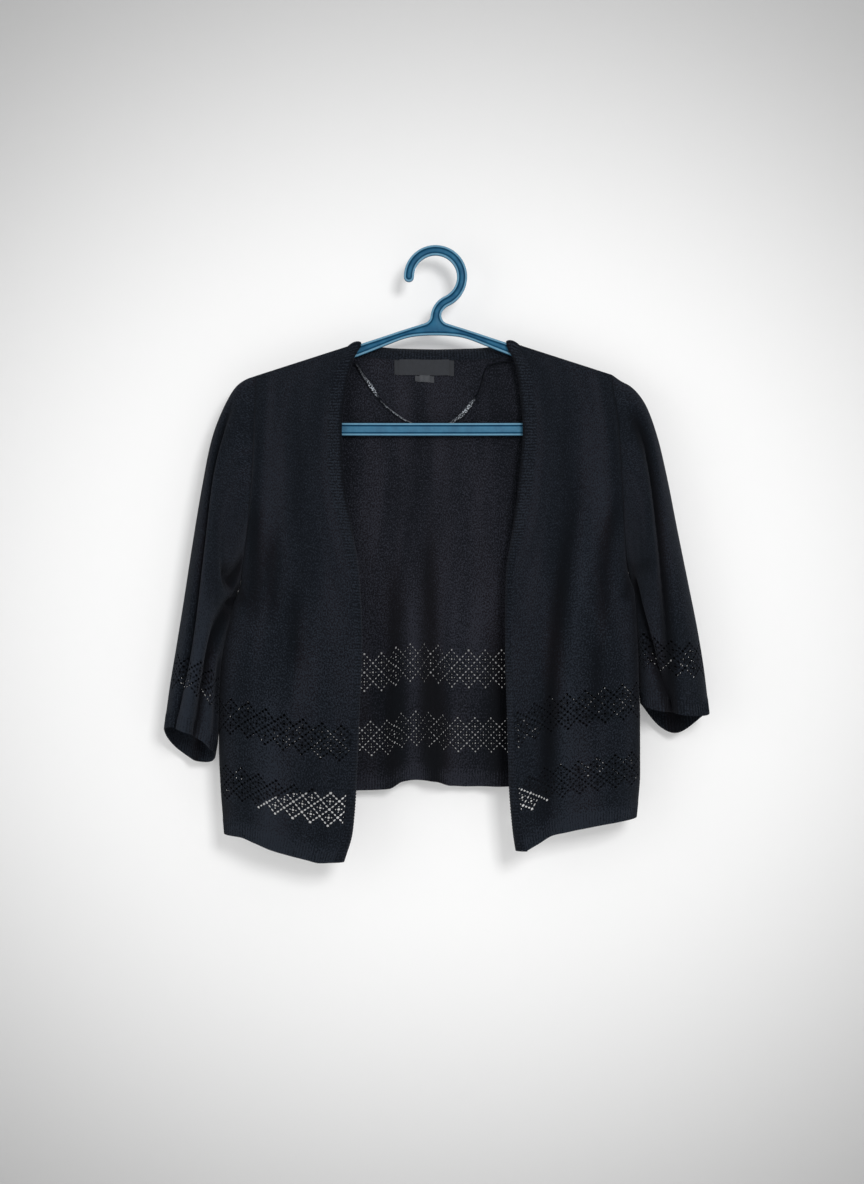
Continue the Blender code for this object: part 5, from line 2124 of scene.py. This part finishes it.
def make_body() -> tuple[dict[Side, Front], Back]:
    """The two fronts and the back, each with its lace heights, chart phases and folds.

    Returns:
        The fronts by their side, and the back.
    """
    fronts = {
        Side.RIGHT: Front(
            "front_right_cloth", "front_right", (38.4, 76), (108, 147.5), (1, 3),
            ((-250, -410, -194, -194, -198, 9, 6), (-280, -410, -174, -175, -172, 8, 5),
             (-340, -470, -150, -150, -146, 9, 4.5), (-430, -680, -186, -178, -182, 14, -4, 80),
             (-322, -384, -226, -214, -205, 5, 6, 14)),
            side=Side.RIGHT,
        ),
        Side.LEFT: Front(
            "front_left_cloth", "front_left", (37, 73.5), (107.5, 147), (2, 5),
            ((-190, -680, 164, 127, 121, 9, 9, 190), (-230, -680, 177, 143, 137, 11, -3.5, 120),
             (-250, -420, 199, 181, 184, 8, 6), (-310, -380, 214, 208, 203, 5, 5, 14),
             (-390, -520, 176, 172, 168, 9, 4.5)),
            side=Side.LEFT,
            openness=0.9,
        ),
    }
    back = Back(
        "back_cloth", "back", (36.5, 76), (106.5, 150), (2, 4),
        ((-260, -660, -6, -5, 4, 8, 8, 110), (-420, -640, 2, 5, 8, 14, 5, 60),
         (-300, -660, -42, -44, -45, 9, 7, 90), (-320, -660, -24, -24, -22, 9, -4, 90),
         (-320, -660, 18, 20, 24, 10, -4, 90), (-330, -660, 40, 45, 47, 12, -3, 90),
         (-360, -660, 64, 68, 70, 11, 6, 90), (-230, -660, -150, -138, -134, 15, 6, 130),
         (-230, -660, 158, 140, 134, 14, 7, 130)),
    )
    return fronts, back


def make_sleeves() -> tuple[Sleeve, Sleeve]:
    """The two sleeves, each with the x and z of its upper line and then of its lower line.

    Returns:
        The right sleeve and the left one.
    """
    right = Sleeve(
        "sleeve_right_cloth", "sleeve_right", Side.RIGHT,
        ((194, 203, 214, 229, 242, 252, 262, 272, 280, 287, 293),
         (-131, -134, -141, -165, -200, -250, -310, -375, -425, -468, -513),
         (211, 212, 213.8, 216.2, 219.2, 224.6, 229.3, 232, 233, 233.8, 238),
         (-356, -361, -368, -378, -390, -411, -435, -462, -485, -510, -538)),
        12, 20, 1,
        ((0.10, 1.30, 0.05, 0.185, 0.05, 0.020, 7), (0.20, 1.30, 0.13, 0.24, 0.11, 0.03, -3),
         (0.02, 1.30, 0.54, 0.335, 0.31, 0.028, 11), (-0.05, 0.36, 0.455, 0.40, 0.315, 0.024, 11, 0.06),
         (0.45, 1.30, 0.30, 0.25, 0.23, 0.03, -4), (0.50, 1.30, 0.44, 0.43, 0.43, 0.03, 3),
         (0.30, 1.20, 0.80, 0.74, 0.72, 0.05, 9)),
        0,
        cuff_glow=0.5,
    )
    left = Sleeve(
        "sleeve_left_cloth", "sleeve_left", Side.LEFT,
        ((190, 199, 211, 226, 239, 250, 261, 273, 283, 290, 295.5),
         (-131, -137, -143, -160, -194, -240, -296, -355, -405, -448, -494),
         (208, 209.2, 211.2, 213.2, 214.6, 216, 217.6, 218.8, 219.8, 220.6, 221.5),
         (-342, -348, -355, -364, -377, -396, -416, -437, -456, -471, -484)),
        -5, 28, 2.6,
        ((0.05, 1.30, 0.10, 0.245, 0.29, 0.032, 11), (0.12, 1.05, 0.45, 0.385, 0.27, 0.022, 11),
         (0.00, 0.50, 0.49, 0.37, 0.25, 0.018, 3), (0.30, 1.20, 0.72, 0.76, 0.80, 0.05, 9)),
        3,
    )
    return right, left


def main() -> None:
    """Build the stage and every piece in order."""
    logging.basicConfig(level=logging.INFO, format="%(message)s")
    stage = Stage()
    stage.add_camera()
    HangingRibbon().build()
    stage.build()
    Hanger().build()
    fronts, back = make_body()
    for panel in (*fronts.values(), back):
        panel.build()
    NeckBand().build(fronts, back)
    for sleeve in make_sleeves():
        sleeve.build(fronts[sleeve.side], back)
    Tab("neck_label_tab", "neck_label", -44.5, 20, -111.6, 17, 6.5, LABEL).build()
    Tab("care_label_tab", "care_tab", -22, -1.5, -128.7, 7.2, 6, CARE, bulge=0.2 * MM).build()
    boxes = {"cad": [list(corner) for corner in CAD_BOX], "visual": [list(corner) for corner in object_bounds()]}
    for name, box in boxes.items():
        log.info("%s box, mm: %s", name, np.round(np.array(box) / MM, 1).tolist())


if __name__ == "__main__":
    main()
